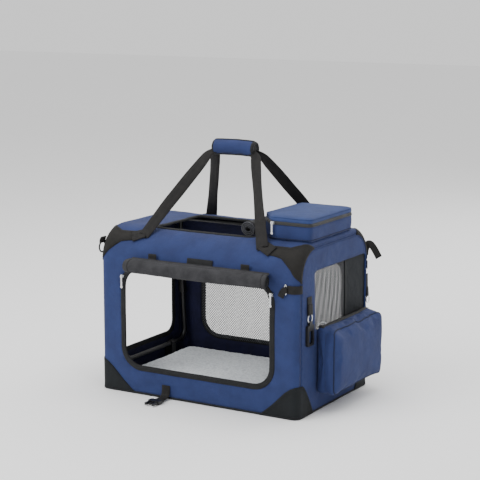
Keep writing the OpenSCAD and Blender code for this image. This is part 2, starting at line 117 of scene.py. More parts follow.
@dataclass(frozen=True)
class Finish:
    """A material: its name, colours in sRGB hex, and typical surface values."""

    name: str
    colour: str
    shade: str
    roughness: float = 0.8
    metallic: float = 0.0
    sheen: float = 0.0
    gloss: float = 0.5
    follows: Coords = Coords.CLOTH

    def make(self) -> bpy.types.Material:
        """Returns the material, building it the first time it is asked for."""
        found = bpy.data.materials.get(self.name)
        if found:
            return found
        material = bpy.data.materials.new(self.name)
        material.use_nodes = True
        tree = material.node_tree
        shader = tree.nodes["Principled BSDF"]
        shader.inputs["Roughness"].default_value = self.roughness
        shader.inputs["Metallic"].default_value = self.metallic
        shader.inputs["Sheen Weight"].default_value = self.sheen
        shader.inputs["Sheen Roughness"].default_value = 0.6
        shader.inputs["Specular IOR Level"].default_value = self.gloss
        coords = add_node(tree, "ShaderNodeTexCoord").outputs[self.follows.value]
        self.dress(tree, shader, coords)
        return material

    def tone(self, tree: bpy.types.NodeTree, coords: bpy.types.NodeSocket, patch_mm: float,
             low: float = 0.35, high: float = 0.65) -> bpy.types.NodeSocket:
        """Colour that drifts between the two hex values over patches of a real size.

        Args:
            tree: node tree of the material.
            coords: pattern coordinates in metres.
            patch_mm: size of the light and dark patches.
            low: noise value that gives the first colour.
            high: noise value that gives the second colour.

        Returns:
            The colour socket.
        """
        patches = add_node(tree, "ShaderNodeTexNoise",
                           {"Scale": 1 / (patch_mm * MM), "Detail": 4.0, "Roughness": 0.6},
                           Vector=coords)
        ramp = add_node(tree, "ShaderNodeValToRGB", Fac=patches.outputs["Fac"])
        ramp.color_ramp.elements[0].position = low
        ramp.color_ramp.elements[0].color = linear(self.shade)
        ramp.color_ramp.elements[1].position = high
        ramp.color_ramp.elements[1].color = linear(self.colour)
        return ramp.outputs["Color"]

    def threads(self, tree: bpy.types.NodeTree, coords: bpy.types.NodeSocket, pitch_mm: float,
                turn: float = 0.0) -> bpy.types.NodeSocket:
        """Height of a plain weave with a real thread spacing.

        Args:
            tree: node tree of the material.
            coords: pattern coordinates in metres.
            pitch_mm: distance from one thread to the next.
            turn: angle of the weave to the cloth, in radians.

        Returns:
            A value socket from 0 to 1.
        """
        turned = add_node(tree, "ShaderNodeMapping", {"Rotation": (0.0, 0.0, turn)}, Vector=coords)
        scale = 2 * math.pi / (pitch_mm * MM) / 20
        warp = add_node(tree, "ShaderNodeTexWave",
                        {"bands_direction": "X", "Scale": scale, "Distortion": 0.6,
                         "Detail Scale": 3.0}, Vector=turned.outputs[0])
        weft = add_node(tree, "ShaderNodeTexWave",
                        {"bands_direction": "Y", "Scale": scale, "Distortion": 0.6,
                         "Detail Scale": 3.0}, Vector=turned.outputs[0])
        return add_node(tree, "ShaderNodeMath", {"operation": "MAXIMUM"},
                        _0=warp.outputs["Fac"], _1=weft.outputs["Fac"]).outputs[0]

    def bump(self, tree: bpy.types.NodeTree, height: bpy.types.NodeSocket, depth_mm: float,
             before: bpy.types.NodeSocket | None = None) -> bpy.types.NodeSocket:
        """Normal of a surface whose height varies by a real depth.

        Args:
            tree: node tree of the material.
            height: value socket from 0 to 1.
            depth_mm: height of the pattern.
            before: normal of a coarser relief that this one lies on.

        Returns:
            The normal socket.
        """
        links = {"Height": height}
        if before:
            links["Normal"] = before
        return add_node(tree, "ShaderNodeBump",
                        {"Distance": depth_mm * MM, "Strength": 1.0}, **links).outputs[0]

    def dress(self, tree: bpy.types.NodeTree, shader: bpy.types.Node,
              coords: bpy.types.NodeSocket) -> None:
        """Adds the colour and relief nodes; each kind of finish has its own."""
        raise NotImplementedError


@dataclass(frozen=True)
class WovenCloth(Finish):
    """Polyester Oxford cloth, plain woven and backed: matt, with a fine square thread grain."""

    sheen: float = 0.03
    gloss: float = 0.22
    # Real threads stand 0.5 mm apart; they are drawn coarser so that they show.
    pitch_mm: float = 1.5
    relief_mm: float = 0.18

    def dress(self, tree: bpy.types.NodeTree, shader: bpy.types.Node,
              coords: bpy.types.NodeSocket) -> None:
        """Square weave over a soft drift of colour, with shallow puckers; the weave paints light on
        the thread crowns and shade in the gaps.
        """
        weave = self.threads(tree, coords, self.pitch_mm)
        tone = self.tone(tree, coords, 55.0)
        fleck = add_node(tree, "ShaderNodeTexNoise",
                         {"Scale": 1 / (2.2 * MM), "Detail": 2.0}, Vector=coords)
        # Painted light and shade of the weave, multiplied by the cloth's own fine fleck.
        grain = add_node(tree, "ShaderNodeMath", {"operation": "MULTIPLY"},
                         _0=weave, _1=fleck.outputs["Fac"])
        darker = add_node(tree, "ShaderNodeMix",
                          {"data_type": "RGBA", "blend_type": "MULTIPLY", "Factor": 0.35},
                          _6=tone, _7=self.weave_light_grey(tree, grain.outputs[0]))
        tree.links.new(darker.outputs[2], shader.inputs["Base Color"])
        pucker = add_node(tree, "ShaderNodeTexNoise",
                          {"Scale": 1 / (24.0 * MM), "Detail": 2.0, "Roughness": 0.45},
                          Vector=coords)
        coarse = self.bump(tree, pucker.outputs["Fac"], 1.6)
        tree.links.new(self.bump(tree, weave, self.relief_mm, coarse), shader.inputs["Normal"])

    def weave_light_grey(self, tree: bpy.types.NodeTree,
                value: bpy.types.NodeSocket) -> bpy.types.NodeSocket:
        """Grey from 0.55 in the gaps of the weave to 1.25 on the crowns of the threads: painted
        shade in the gaps and painted light on the crowns.
        """
        ramp = add_node(tree, "ShaderNodeMapRange",
                        {"From Min": 0.1, "From Max": 0.7, "To Min": 0.55, "To Max": 1.25},
                        Value=value)
        return add_node(tree, "ShaderNodeCombineColor", Red=ramp.outputs[0],
                        Green=ramp.outputs[0], Blue=ramp.outputs[0]).outputs[0]


@dataclass(frozen=True)
class Webbing(Finish):
    """Woven polypropylene tape: slanted ribs across its width and a slight silky gloss."""

    roughness: float = 0.68
    sheen: float = 0.02
    gloss: float = 0.22
    rib_mm: float = 2.0

    def dress(self, tree: bpy.types.NodeTree, shader: bpy.types.Node,
              coords: bpy.types.NodeSocket) -> None:
        """Ribs at 45 degrees, lit on their crowns."""
        ribs = self.threads(tree, coords, self.rib_mm, math.radians(45))
        tone = self.tone(tree, coords, 18.0)
        lit = add_node(tree, "ShaderNodeMix",
                       {"data_type": "RGBA", "blend_type": "MULTIPLY", "Factor": 0.4},
                       _6=tone, _7=self.rib_grey(tree, ribs))
        tree.links.new(lit.outputs[2], shader.inputs["Base Color"])
        tree.links.new(self.bump(tree, ribs, 0.35), shader.inputs["Normal"])

    def rib_grey(self, tree: bpy.types.NodeTree,
                 ribs: bpy.types.NodeSocket) -> bpy.types.NodeSocket:
        """Grey that is dark between the ribs."""
        ramp = add_node(tree, "ShaderNodeMapRange", {"To Min": 0.4, "To Max": 1.3}, Value=ribs)
        return add_node(tree, "ShaderNodeCombineColor", Red=ramp.outputs[0],
                        Green=ramp.outputs[0], Blue=ramp.outputs[0]).outputs[0]


@dataclass(frozen=True)
class KnitMesh(Finish):
    """Knitted polyester mesh rolled on itself: charcoal, dotted with small dark holes."""

    sheen: float = 0.03
    gloss: float = 0.2
    hole_mm: float = 2.6

    def dress(self, tree: bpy.types.NodeTree, shader: bpy.types.Node,
              coords: bpy.types.NodeSocket) -> None:
        """Rows of holes over a soft drift of grey."""
        cells = add_node(tree, "ShaderNodeTexVoronoi",
                         {"Scale": 1 / (self.hole_mm * MM), "Randomness": 0.15}, Vector=coords)
        hole = add_node(tree, "ShaderNodeMapRange",
                        {"From Min": 0.25, "From Max": 0.5, "To Min": 0.35, "To Max": 1.0},
                        Value=cells.outputs["Distance"])
        grey = add_node(tree, "ShaderNodeCombineColor", Red=hole.outputs[0],
                        Green=hole.outputs[0], Blue=hole.outputs[0])
        tone = self.tone(tree, coords, 30.0)
        mixed = add_node(tree, "ShaderNodeMix",
                         {"data_type": "RGBA", "blend_type": "MULTIPLY", "Factor": 0.7},
                         _6=tone, _7=grey.outputs[0])
        tree.links.new(mixed.outputs[2], shader.inputs["Base Color"])
        tree.links.new(self.bump(tree, hole.outputs[0], 0.3), shader.inputs["Normal"])


@dataclass(frozen=True)
class SherpaFleece(Finish):
    """Curly polyester fleece: deep soft tufts a few millimetres across, with no gloss."""

    roughness: float = 0.95
    sheen: float = 0.5
    tuft_mm: float = 6.0

    def dress(self, tree: bpy.types.NodeTree, shader: bpy.types.Node,
              coords: bpy.types.NodeSocket) -> None:
        """Tufts with painted shade in the valleys between them."""
        tufts = add_node(tree, "ShaderNodeTexVoronoi",
                         {"Scale": 1 / (self.tuft_mm * MM), "feature": "SMOOTH_F1",
                          "Smoothness": 0.6}, Vector=coords)
        curl = add_node(tree, "ShaderNodeTexNoise",
                        {"Scale": 1 / (3.0 * MM), "Detail": 5.0, "Distortion": 1.5}, Vector=coords)
        mixed = add_node(tree, "ShaderNodeMath", {"operation": "MULTIPLY"},
                         _0=tufts.outputs["Distance"], _1=curl.outputs["Fac"])
        # Pale on the tufts and darker in the valleys between them: painted shade.
        ramp = add_node(tree, "ShaderNodeValToRGB", Fac=mixed.outputs[0])
        ramp.color_ramp.elements[0].color = linear(self.colour)
        ramp.color_ramp.elements[1].color = linear(self.shade)
        ramp.color_ramp.elements[1].position = 0.5
        tree.links.new(ramp.outputs["Color"], shader.inputs["Base Color"])
        relief = add_node(tree, "ShaderNodeMath", {"operation": "SUBTRACT", 0: 1.0},
                          _1=mixed.outputs[0])
        tree.links.new(self.bump(tree, relief.outputs[0], 3.0), shader.inputs["Normal"])


@dataclass(frozen=True)
class MouldedNylon(Finish):
    """Injection-moulded nylon: near-black, with a fine spark-eroded grain and a low gloss."""

    roughness: float = 0.42
    follows: Coords = Coords.PART
    grain_mm: float = 0.7

    def dress(self, tree: bpy.types.NodeTree, shader: bpy.types.Node,
              coords: bpy.types.NodeSocket) -> None:
        """Fine grain and slightly uneven gloss."""
        tree.links.new(self.tone(tree, coords, 12.0), shader.inputs["Base Color"])
        grain = add_node(tree, "ShaderNodeTexNoise",
                         {"Scale": 1 / (self.grain_mm * MM), "Detail": 3.0}, Vector=coords)
        tree.links.new(self.bump(tree, grain.outputs["Fac"], 0.06), shader.inputs["Normal"])


@dataclass(frozen=True)
class PowderCoat(Finish):
    """Steel tube with a baked powder coat: black, with a faint orange-peel surface."""

    roughness: float = 0.38
    follows: Coords = Coords.PART

    def dress(self, tree: bpy.types.NodeTree, shader: bpy.types.Node,
              coords: bpy.types.NodeSocket) -> None:
        """Orange peel a few millimetres across."""
        tree.links.new(self.tone(tree, coords, 40.0), shader.inputs["Base Color"])
        peel = add_node(tree, "ShaderNodeTexNoise", {"Scale": 1 / (3.0 * MM), "Detail": 2.0},
                        Vector=coords)
        tree.links.new(self.bump(tree, peel.outputs["Fac"], 0.05), shader.inputs["Normal"])


@dataclass(frozen=True)
class NickelPlate(Finish):
    """Die-cast zinc plated with nickel: bright, with soft tumbling marks in its gloss."""

    metallic: float = 1.0
    roughness: float = 0.24
    follows: Coords = Coords.PART

    def dress(self, tree: bpy.types.NodeTree, shader: bpy.types.Node,
              coords: bpy.types.NodeSocket) -> None:
        """Uneven gloss from tumbling."""
        tree.links.new(self.tone(tree, coords, 4.0), shader.inputs["Base Color"])
        marks = add_node(tree, "ShaderNodeTexNoise", {"Scale": 1 / (1.2 * MM), "Detail": 4.0},
                         Vector=coords)
        rough = add_node(tree, "ShaderNodeMapRange", {"To Min": 0.16, "To Max": 0.4},
                         Value=marks.outputs["Fac"])
        tree.links.new(rough.outputs[0], shader.inputs["Roughness"])


@dataclass(frozen=True)
class CoilZip(Finish):
    """Nylon coil zip on black tape: a row of close teeth with a soft gloss."""

    roughness: float = 0.5
    tooth_mm: float = 2.4

    def dress(self, tree: bpy.types.NodeTree, shader: bpy.types.Node,
              coords: bpy.types.NodeSocket) -> None:
        """Teeth across the length of the tape."""
        teeth = add_node(tree, "ShaderNodeTexWave",
                         {"bands_direction": "X",
                          "Scale": 2 * math.pi / (self.tooth_mm * MM) / 20}, Vector=coords)
        tree.links.new(self.tone(tree, coords, 20.0), shader.inputs["Base Color"])
        tree.links.new(self.bump(tree, teeth.outputs["Fac"], 0.4), shader.inputs["Normal"])


BLUE = WovenCloth("oxford cloth, blue", "#283562", "#232e57")
# The same blue cloth made lighter for the lid of the roof pocket and its seam: painted top light,
# because the lid faces up into the lamps.
BLUE_TOP_LIT = WovenCloth("oxford cloth, blue with painted top light", "#2e3f6e", "#293862")
SEAM = WovenCloth("oxford piping, blue in shade", "#18213f", "#121a33")
LINING = WovenCloth("nylon lining, navy", "#17193a", "#11132c", sheen=0.02)
PATCH = WovenCloth("ballistic cloth, black", "#1e1c1a", "#161513", pitch_mm=2.0, relief_mm=0.3)
LOW_PATCH = WovenCloth("ballistic cloth, black, lower", "#14181b", "#0f1214", pitch_mm=2.0,
                       relief_mm=0.3)
FLAP = WovenCloth("backing cloth, slate", "#171b20", "#12161a", sheen=0.02)
WEB = Webbing("polypropylene webbing, black", "#1b1918", "#121111")
BINDING = Webbing("grosgrain binding, black", "#1b1c1e", "#121315", rib_mm=1.6)
ROLL = KnitMesh("knitted mesh, charcoal", "#38383b", "#29292c")
EDGING = Webbing("edge tape, grey", "#54555a", "#45464a")
NET = KnitMesh("knitted mesh, grey threads", "#5e5f61", "#4f5052")
# The second fleece colour is the painted shade in the valleys between the tufts.
FLEECE = SherpaFleece("sherpa fleece, pale grey", "#dfe4e8", "#aab2b9")
NYLON = MouldedNylon("moulded nylon, black", "#101011", "#0b0b0c")
TUBE = PowderCoat("powder-coated steel, black", "#141416", "#0f0f11")
NICKEL = NickelPlate("nickel-plated zinc", "#d8d9da", "#c3c5c7")
ZIP = CoilZip("coil zip, black", "#161617", "#0e0e0f")
BOARD = MouldedNylon("polypropylene board, dark", "#22242a", "#1a1c21", roughness=0.6)
THREAD = Webbing("polyester thread, black", "#242426", "#18181a", rib_mm=1.0)


# ---------------------------------------------------------------- meshes


def finish_mesh(name: str, mesh: bpy.types.Mesh, finishes: Sequence[Finish], body: str,
                smooth: bool = True) -> bpy.types.Object:
    """Makes a piece from a mesh, gives it its finishes and lets it ride on a body.

    Args:
        name: name of the piece.
        mesh: its mesh, in metres, in the frame of the whole part.
        finishes: materials in slot order.
        body: CAD body that it moves with.
        smooth: whether its faces are shaded smooth.

    Returns:
        The piece.
    """
    mesh.name = name
    if smooth:
        mesh.polygons.foreach_set("use_smooth", [True] * len(mesh.polygons))
    piece = bpy.data.objects.new(name, mesh)
    bpy.context.scene.collection.objects.link(piece)
    for one in finishes:
        mesh.materials.append(one.make())
    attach(piece, body)
    LOG.info("%s: %d faces", name, len(mesh.polygons))
    return piece


def box_layout(mesh: bpy.types.Mesh) -> None:
    """Lays the cloth out flat face by face, along the two axes that each face lies in."""
    layer = mesh.uv_layers.new(name="cloth")
    for face in mesh.polygons:
        n = [abs(c) for c in face.normal]
        a, b = ((1, 2), (0, 2), (0, 1))[n.index(max(n))]
        for k in face.loop_indices:
            co = mesh.vertices[mesh.loops[k].vertex_index].co
            layer.data[k].uv = (co[a], co[b])


def inside(points: np.ndarray, ring: Sequence[Point2]) -> np.ndarray:
    """Which of the flat points lie inside a closed outline."""
    x, y = points[:, 0], points[:, 1]
    odd = np.zeros(len(points), bool)
    for (x0, y0), (x1, y1) in zip(ring, list(ring[1:]) + [ring[0]]):
        if y0 != y1:
            odd ^= ((y0 > y) != (y1 > y)) & (x < x0 + (y - y0) * (x1 - x0) / (y1 - y0))
    return odd


def ring_area(ring: Sequence[Point2]) -> float:
    """Area that a ring encloses, in square metres."""
    pairs = zip(ring, [*ring[1:], ring[0]])
    return abs(sum(a[0] * b[1] - b[0] * a[1] for a, b in pairs)) / 2


def divided(ring: Sequence[Point2], step: float) -> list[Point2]:
    """The outline with points no further apart than step."""
    out: list[Point2] = []
    for (x0, y0), (x1, y1) in zip(ring, list(ring[1:]) + [ring[0]]):
        n = max(1, math.ceil(math.hypot(x1 - x0, y1 - y0) / step))
        out += [(x0 + (x1 - x0) * k / n, y0 + (y1 - y0) * k / n) for k in range(n)]
    return out


def rounded(x0: float, x1: float, y0: float, y1: float, r: float, turns: int = 8) -> list[Point2]:
    """Outline of a rectangle with round corners, counter-clockwise."""
    out: list[Point2] = []
    for cx, cy, start in ((x1 - r, y0 + r, -90), (x1 - r, y1 - r, 0), (x0 + r, y1 - r, 90),
                          (x0 + r, y0 + r, 180)):
        for k in range(turns + 1):
            a = math.radians(start + 90 * k / turns)
            out.append((cx + r * math.cos(a), cy + r * math.sin(a)))
    return out


def cut(outline: Sequence[Point2], holes: Sequence[Sequence[Point2]],
        step: float) -> tuple[list[Point2], list[list[int]]]:
    """Cuts a flat piece with holes into small triangles.

    Args:
        outline: edge of the piece, in metres.
        holes: edges of its openings.
        step: spacing of the points.

    Returns:
        The points, and the triangles as triples of point numbers, counter-clockwise.
    """
    rings = [divided(r, step) for r in [outline, *holes]]
    flat = [p for r in rings for p in r]
    edges: list[tuple[int, int]] = []
    first = 0
    for r in rings:
        edges += [(first + k, first + (k + 1) % len(r)) for k in range(len(r))]
        first += len(r)
    rim = np.array(flat)
    low, high = rim.min(0), rim.max(0)
    rows = int((high[1] - low[1]) / (step * 0.87)) + 1
    grid = np.array([(low[0] + (i + 0.5 * (j % 2)) * step, low[1] + (j + 0.5) * step * 0.87)
                     for j in range(rows) for i in range(int((high[0] - low[0]) / step) + 1)])
    clear = np.array([np.min(np.hypot(rim[:, 0] - p[0], rim[:, 1] - p[1])) for p in grid])
    wanted = (clear > 0.5 * step) & inside(grid, rings[0])
    for r in rings[1:]:
        wanted &= ~inside(grid, r)
    flat += [tuple(p) for p in grid[wanted]]
    found = geometry.delaunay_2d_cdt([Vector(p) for p in flat], edges, [], 0, 1e-7)
    points = [(p[0], p[1]) for p in found[0]]
    middles = np.array([np.mean([points[k] for k in f], axis=0) for f in found[2]])
    kept = inside(middles, rings[0])
    for r in rings[1:]:
        kept &= ~inside(middles, r)
    out = []
    for f, keep in zip(found[2], kept):
        if keep:
            p, q, r = (points[k] for k in f)
            left = (q[0] - p[0]) * (r[1] - p[1]) - (q[1] - p[1]) * (r[0] - p[0]) > 0
            out.append(list(f) if left else list(reversed(f)))
    return points, out


def skin(name: str, points: Sequence[Point2], triangles: Sequence[Sequence[int]],
         top: Sequence[Vector], under: Sequence[Vector], finishes: Sequence[Finish],
         body: str) -> bpy.types.Object:
    """Closes a cut piece between its two faces.

    Args:
        name: name of the piece.
        points: flat points, used as the layout of the cloth.
        triangles: triangles of the cut.
        top: place of each point on the outer face.
        under: place of each point on the inner face.
        finishes: outer finish and, where it differs, inner finish.
        body: CAD body that it moves with.

    Returns:
        The piece.
    """
    n = len(points)
    sides = {(f[k], f[(k + 1) % 3]) for f in triangles for k in range(3)}
    rim = sorted(e for e in sides if (e[1], e[0]) not in sides)
    faces = [tuple(f) for f in triangles] + [tuple(k + n for k in reversed(f)) for f in triangles]
    faces += [(b, a, a + n, b + n) for a, b in rim]
    mesh = bpy.data.meshes.new(name)
    mesh.from_pydata([tuple(v) for v in [*top, *under]], [], faces)
    count = len(triangles)
    slots = [0] * count + [len(finishes) - 1] * count + [0] * len(rim)
    mesh.polygons.foreach_set("material_index", slots)
    layer = mesh.uv_layers.new(name="cloth")
    for loop in mesh.loops:
        layer.data[loop.index].uv = points[loop.vertex_index % n]
    loose = bmesh.new()
    loose.from_mesh(mesh)
    bmesh.ops.delete(loose, geom=[v for v in loose.verts if not v.link_faces], context="VERTS")
    loose.to_mesh(mesh)
    loose.free()
    return finish_mesh(name, mesh, finishes, body)


def cloth(name: str, outline: Sequence[Point2], holes: Sequence[Sequence[Point2]], place: Place,
          step: float, thick: float, finishes: Sequence[Finish], body: str) -> bpy.types.Object:
    """A cut piece of cloth with holes, laid over a curved surface and given its thickness.

    Args:
        name: name of the piece.
        outline: edge of the cut in the cloth's own flat coordinates, in metres.
        holes: edges of its openings.
        place: where a flat point of the outer face lies on the bag.
        step: spacing of the mesh.
        thick: thickness, added on the inner side.
        finishes: outer finish and, where it differs, inner finish.
        body: CAD body that it moves with.

    Returns:
        The piece.
    """
    points, triangles = cut(outline, holes, step)
    small = 0.5 * MM
    top, under = [], []
    for s, t in points:
        here = place(s, t)
        du = place(s + small, t) - place(s - small, t)
        dv = place(s, t + small) - place(s, t - small)
        top.append(here)
        under.append(here - du.cross(dv).normalized() * thick)
    return skin(name, points, triangles, top, under, finishes, body)


def pad(name: str, outline: Sequence[Point2], step: float, low: float, high: float, round_mm: float,
        crown: Callable[[float, float], float], finishes: Sequence[Finish],
        body: str) -> bpy.types.Object:
    """A stuffed pad on a flat cut: round at its edge and crowned in its middle.

    Args:
        name: name of the piece.
        outline: edge of the cut, seen from above.
        step: spacing of the mesh.
        low: height of its underside.
        high: height of its upper side at the shoulders.
        round_mm: width over which the edge turns round.
        crown: how far the upper side stands above its shoulders at a flat point.
        finishes: upper finish and, where it differs, under finish.
        body: CAD body that it moves with.

    Returns:
        The piece.
    """
    points, triangles = cut(outline, [], step)
    rim = np.array(divided(outline, step))
    half, middle = (high - low) / 2, (high + low) / 2
    top, under = [], []
    for x, y in points:
        near = min(np.min(np.hypot(rim[:, 0] - x, rim[:, 1] - y)) / (round_mm * MM), 1.0)
        rise = half * math.sqrt(1 - (1 - near) ** 2)
        top.append(Vector((x, y, middle + rise + crown(x, y) * near)))
        under.append(Vector((x, y, middle - rise * 0.999 - 0.2 * MM)))
    return skin(name, points, triangles, top, under, finishes, body)


def woven_strip(name: str, grid: np.ndarray, thick: float, finishes: Sequence[Finish],
                body: str) -> bpy.types.Object:
    """Cloth through a grid of points, given its thickness.

    Args:
        name: name of the piece.
        grid: points as rows, columns and x, y, z, in metres.
        thick: thickness of the cloth.
        finishes: outer finish and, where it differs, inner finish.
        body: CAD body that it moves with.

    Returns:
        The piece.
    """
    n, m = grid.shape[:2]
    normal = np.cross(np.gradient(grid, axis=0), np.gradient(grid, axis=1))
    normal /= np.maximum(np.linalg.norm(normal, axis=2, keepdims=True), 1e-12)
    top = (grid + normal * thick / 2).reshape(-1, 3)
    under = (grid - normal * thick / 2).reshape(-1, 3)
    down = np.linalg.norm(np.diff(grid, axis=0), axis=2).mean(1)
    across = np.linalg.norm(np.diff(grid, axis=1), axis=2).mean(0)
    rows, columns = np.append(0.0, down.cumsum()), np.append(0.0, across.cumsum())
    points = [(float(rows[i]), float(columns[j])) for i in range(n) for j in range(m)]
    triangles = []
    for i in range(n - 1):
        for j in range(m - 1):
            a, b, c, d = i * m + j, (i + 1) * m + j, (i + 1) * m + j + 1, i * m + j + 1
            triangles += [[a, b, c], [a, c, d]]
    return skin(name, points, triangles, top, under, finishes, body)


def sweep(name: str, path: Sequence[Vector], ups: Sequence[Vector], section: Sequence[Point2],
          finish: Finish, body: str, closed: bool = False,
          widths: Sequence[float] | None = None) -> bpy.types.Object:
    """A section drawn along a path, such as webbing, binding, piping or a cord.

    Args:
        name: name of the piece.
        path: points that the section follows.
        ups: the section's second axis at each point.
        section: closed outline as (along the side, along up) in metres.
        finish: material.
        body: CAD body that it moves with.
        closed: whether the path ends where it starts.
        widths: factor on the side axis at each point.

    Returns:
        The piece.
    """
    n, m = len(path), len(section)
    verts, uvs, run = [], [], 0.0
    for k, here in enumerate(path):
        before = path[k - 1] if k or closed else here
        after = path[(k + 1) % n] if k < n - 1 or closed else here
        along = (after - before).normalized()
        up = (ups[k] - along * ups[k].dot(along)).normalized()
        side = along.cross(up)
        if k:
            run += (here - path[k - 1]).length
        wide = widths[k] if widths else 1.0
        across = 0.0
        for i, (a, b) in enumerate(section):
            verts.append(here + side * a * wide + up * b)
            if i:
                across += math.dist(section[i], section[i - 1])
            uvs.append((run, across))
    faces = []
    for k in range(n if closed else n - 1):
        for i in range(m):
            a, b = k * m + i, k * m + (i + 1) % m
            c, d = ((k + 1) % n) * m + (i + 1) % m, ((k + 1) % n) * m + i
            faces.append((a, d, c, b))
    if not closed:
        faces.append(tuple(range(m)))
        faces.append(tuple((n - 1) * m + i for i in reversed(range(m))))
    mesh = bpy.data.meshes.new(name)
    mesh.from_pydata([tuple(v) for v in verts], [], faces)
    layer = mesh.uv_layers.new(name="cloth")
    for loop in mesh.loops:
        layer.data[loop.index].uv = uvs[loop.vertex_index]
    fix = bmesh.new()
    fix.from_mesh(mesh)
    bmesh.ops.recalc_face_normals(fix, faces=fix.faces)
    fix.to_mesh(mesh)
    fix.free()
    return finish_mesh(name, mesh, [finish], body)


def tape(width: float, thick: float) -> list[Point2]:
    """Section of flat tape with slightly rounded edges."""
    w, h, c = width / 2, thick / 2, min(thick / 2, width / 4) * 0.7
    return [(-w, -h + c), (-w + c, -h), (-w / 3, -h), (w / 3, -h), (w - c, -h), (w, -h + c),
            (w, h - c), (w - c, h), (w / 3, h), (-w / 3, h), (-w + c, h), (-w, h - c)]


def round_section(r: float, sides: int = 10) -> list[Point2]:
    """Section of a cord."""
    return [(r * math.cos(2 * math.pi * k / sides), r * math.sin(2 * math.pi * k / sides))
            for k in range(sides)]


def loft(name: str, rings: Sequence[Sequence[Vector]], finishes: Sequence[Finish], body: str,
         mark: Callable[[Vector, Vector], int] | None = None,
         smooth_rounds: int = 0) -> bpy.types.Object:
    """A closed skin through a stack of rings with the same number of points.

    Args:
        name: name of the piece.
        rings: outlines from one end to the other.
        finishes: materials in slot order.
        body: CAD body that it moves with.
        mark: picks the slot of a face from its middle and its normal.
        smooth_rounds: levels of subdivision applied to the skin.

    Returns:
        The piece.
    """
    m = len(rings[0])
    verts = [tuple(p) for r in rings for p in r]
    faces = []
    for k in range(len(rings) - 1):
        for i in range(m):
            a, b = k * m + i, k * m + (i + 1) % m
            faces.append((a, b, b + m, a + m))
    for k, flip in ((0, True), (len(rings) - 1, False)):
        middle = sum((Vector(p) for p in rings[k]), Vector()) / m
        verts.append(tuple(middle))
        for i in range(m):
            tri = (k * m + i, k * m + (i + 1) % m, len(verts) - 1)
            faces.append(tuple(reversed(tri)) if flip else tri)
    mesh = bpy.data.meshes.new(name)
    mesh.from_pydata(verts, [], faces)
    fix = bmesh.new()
    fix.from_mesh(mesh)
    bmesh.ops.recalc_face_normals(fix, faces=fix.faces)
    fix.to_mesh(mesh)
    fix.free()
    piece = finish_mesh(name, mesh, finishes, body)
    if smooth_rounds:
        harden(piece, "SUBSURF", levels=smooth_rounds, render_levels=smooth_rounds)
    box_layout(piece.data)
    if mark:
        for face in piece.data.polygons:
            face.material_index = mark(face.center, face.normal)
    return piece


def harden(piece: bpy.types.Object, kind: str, **settings: object) -> None:
    """Adds one modifier to a piece and applies its result to the mesh."""
    modifier = piece.modifiers.new(kind.lower(), kind)
    for key, value in settings.items():
        setattr(modifier, key, value)
    graph = bpy.context.evaluated_depsgraph_get()
    done = bpy.data.meshes.new_from_object(piece.evaluated_get(graph),
                                           preserve_all_data_layers=True, depsgraph=graph)
    piece.modifiers.clear()
    piece.data = done


def ripple(p: Vector, size_mm: float, seed: float) -> float:
    """Smooth noise from -1 to 1 over folds of a real size."""
    return noise.noise(Vector(p) / (size_mm * MM) + Vector((seed, seed * 1.7, -seed)))


def soft(piece: bpy.types.Object) -> bpy.types.Object:
    """Gives a piece of cloth its own copy of its mesh."""
    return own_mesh(piece)


def stitches(name: str, path: Sequence[Vector], ups: Sequence[Vector], body: str,
             closed: bool = False, long_mm: float = 3.6, gap_mm: float = 2.0) -> bpy.types.Object:
    """A row of sewn stitches lying on a surface.

    Args:
        name: name of the piece.
        path: line of the seam.
        ups: surface normal at each point of the path.
        body: CAD body that it moves with.
        closed: whether the seam ends where it starts.
        long_mm: length of one stitch.
        gap_mm: gap to the next.

    Returns:
        The piece.
    """
    points = list(path) + ([path[0]] if closed else [])
    normals = list(ups) + ([ups[0]] if closed else [])
    runs = [0.0]
    for a, b in zip(points, points[1:]):
        runs.append(runs[-1] + (b - a).length)
    verts, faces = [], []

    def at(s: float) -> tuple[Vector, Vector]:
        """Point and normal at a distance along the seam."""
        k = min(max(np.searchsorted(runs, s) - 1, 0), len(points) - 2)
        f = (s - runs[k]) / max(runs[k + 1] - runs[k], 1e-9)
        return points[k].lerp(points[k + 1], f), normals[k].lerp(normals[k + 1], f)

    s, wide, high = 0.0, 0.45 * MM, 0.4 * MM
    while s + long_mm * MM < runs[-1]:
        (a, up), (b, _) = at(s), at(s + long_mm * MM)
        along = (b - a).normalized()
        side = along.cross(up).normalized() * wide
        first = len(verts)
        middle = (a + b) / 2 + up.normalized() * high
        for p, grow in ((a, 0.3), (middle, 1.0), (b, 0.3)):
            verts += [tuple(p - side * grow), tuple(p + up.normalized() * high * grow),
                      tuple(p + side * grow), tuple(p - up.normalized() * high * 0.5)]
        for k in (0, 4):
            for i in range(4):
                faces.append((first + k + i, first + k + (i + 1) % 4,
                              first + k + 4 + (i + 1) % 4, first + k + 4 + i))
        faces.append((first, first + 3, first + 2, first + 1))
        faces.append((first + 8, first + 9, first + 10, first + 11))
        s += (long_mm + gap_mm) * MM
    mesh = bpy.data.meshes.new(name)
    mesh.from_pydata(verts, [], faces)
    box_layout(mesh)
    return finish_mesh(name, mesh, [THREAD], body)


def band(name: str, path: Sequence[Vector], ups: Sequence[Vector], width: float, thick: float,
         finish: Finish, body: str, closed: bool = False,
         widths: Sequence[float] | None = None) -> bpy.types.Object:
    """Flat tape laid along a path.

    Args:
        name: name of the piece.
        path: middle line of the tape.
        ups: direction that its face looks in at each point.
        width: width of the tape.
        thick: thickness of the tape.
        finish: material.
        body: CAD body that it moves with.
        closed: whether the path ends where it starts.
        widths: factor on the width at each point.

    Returns:
        The piece.
    """
    return sweep(name, path, ups, tape(width, thick), finish, body, closed, widths)


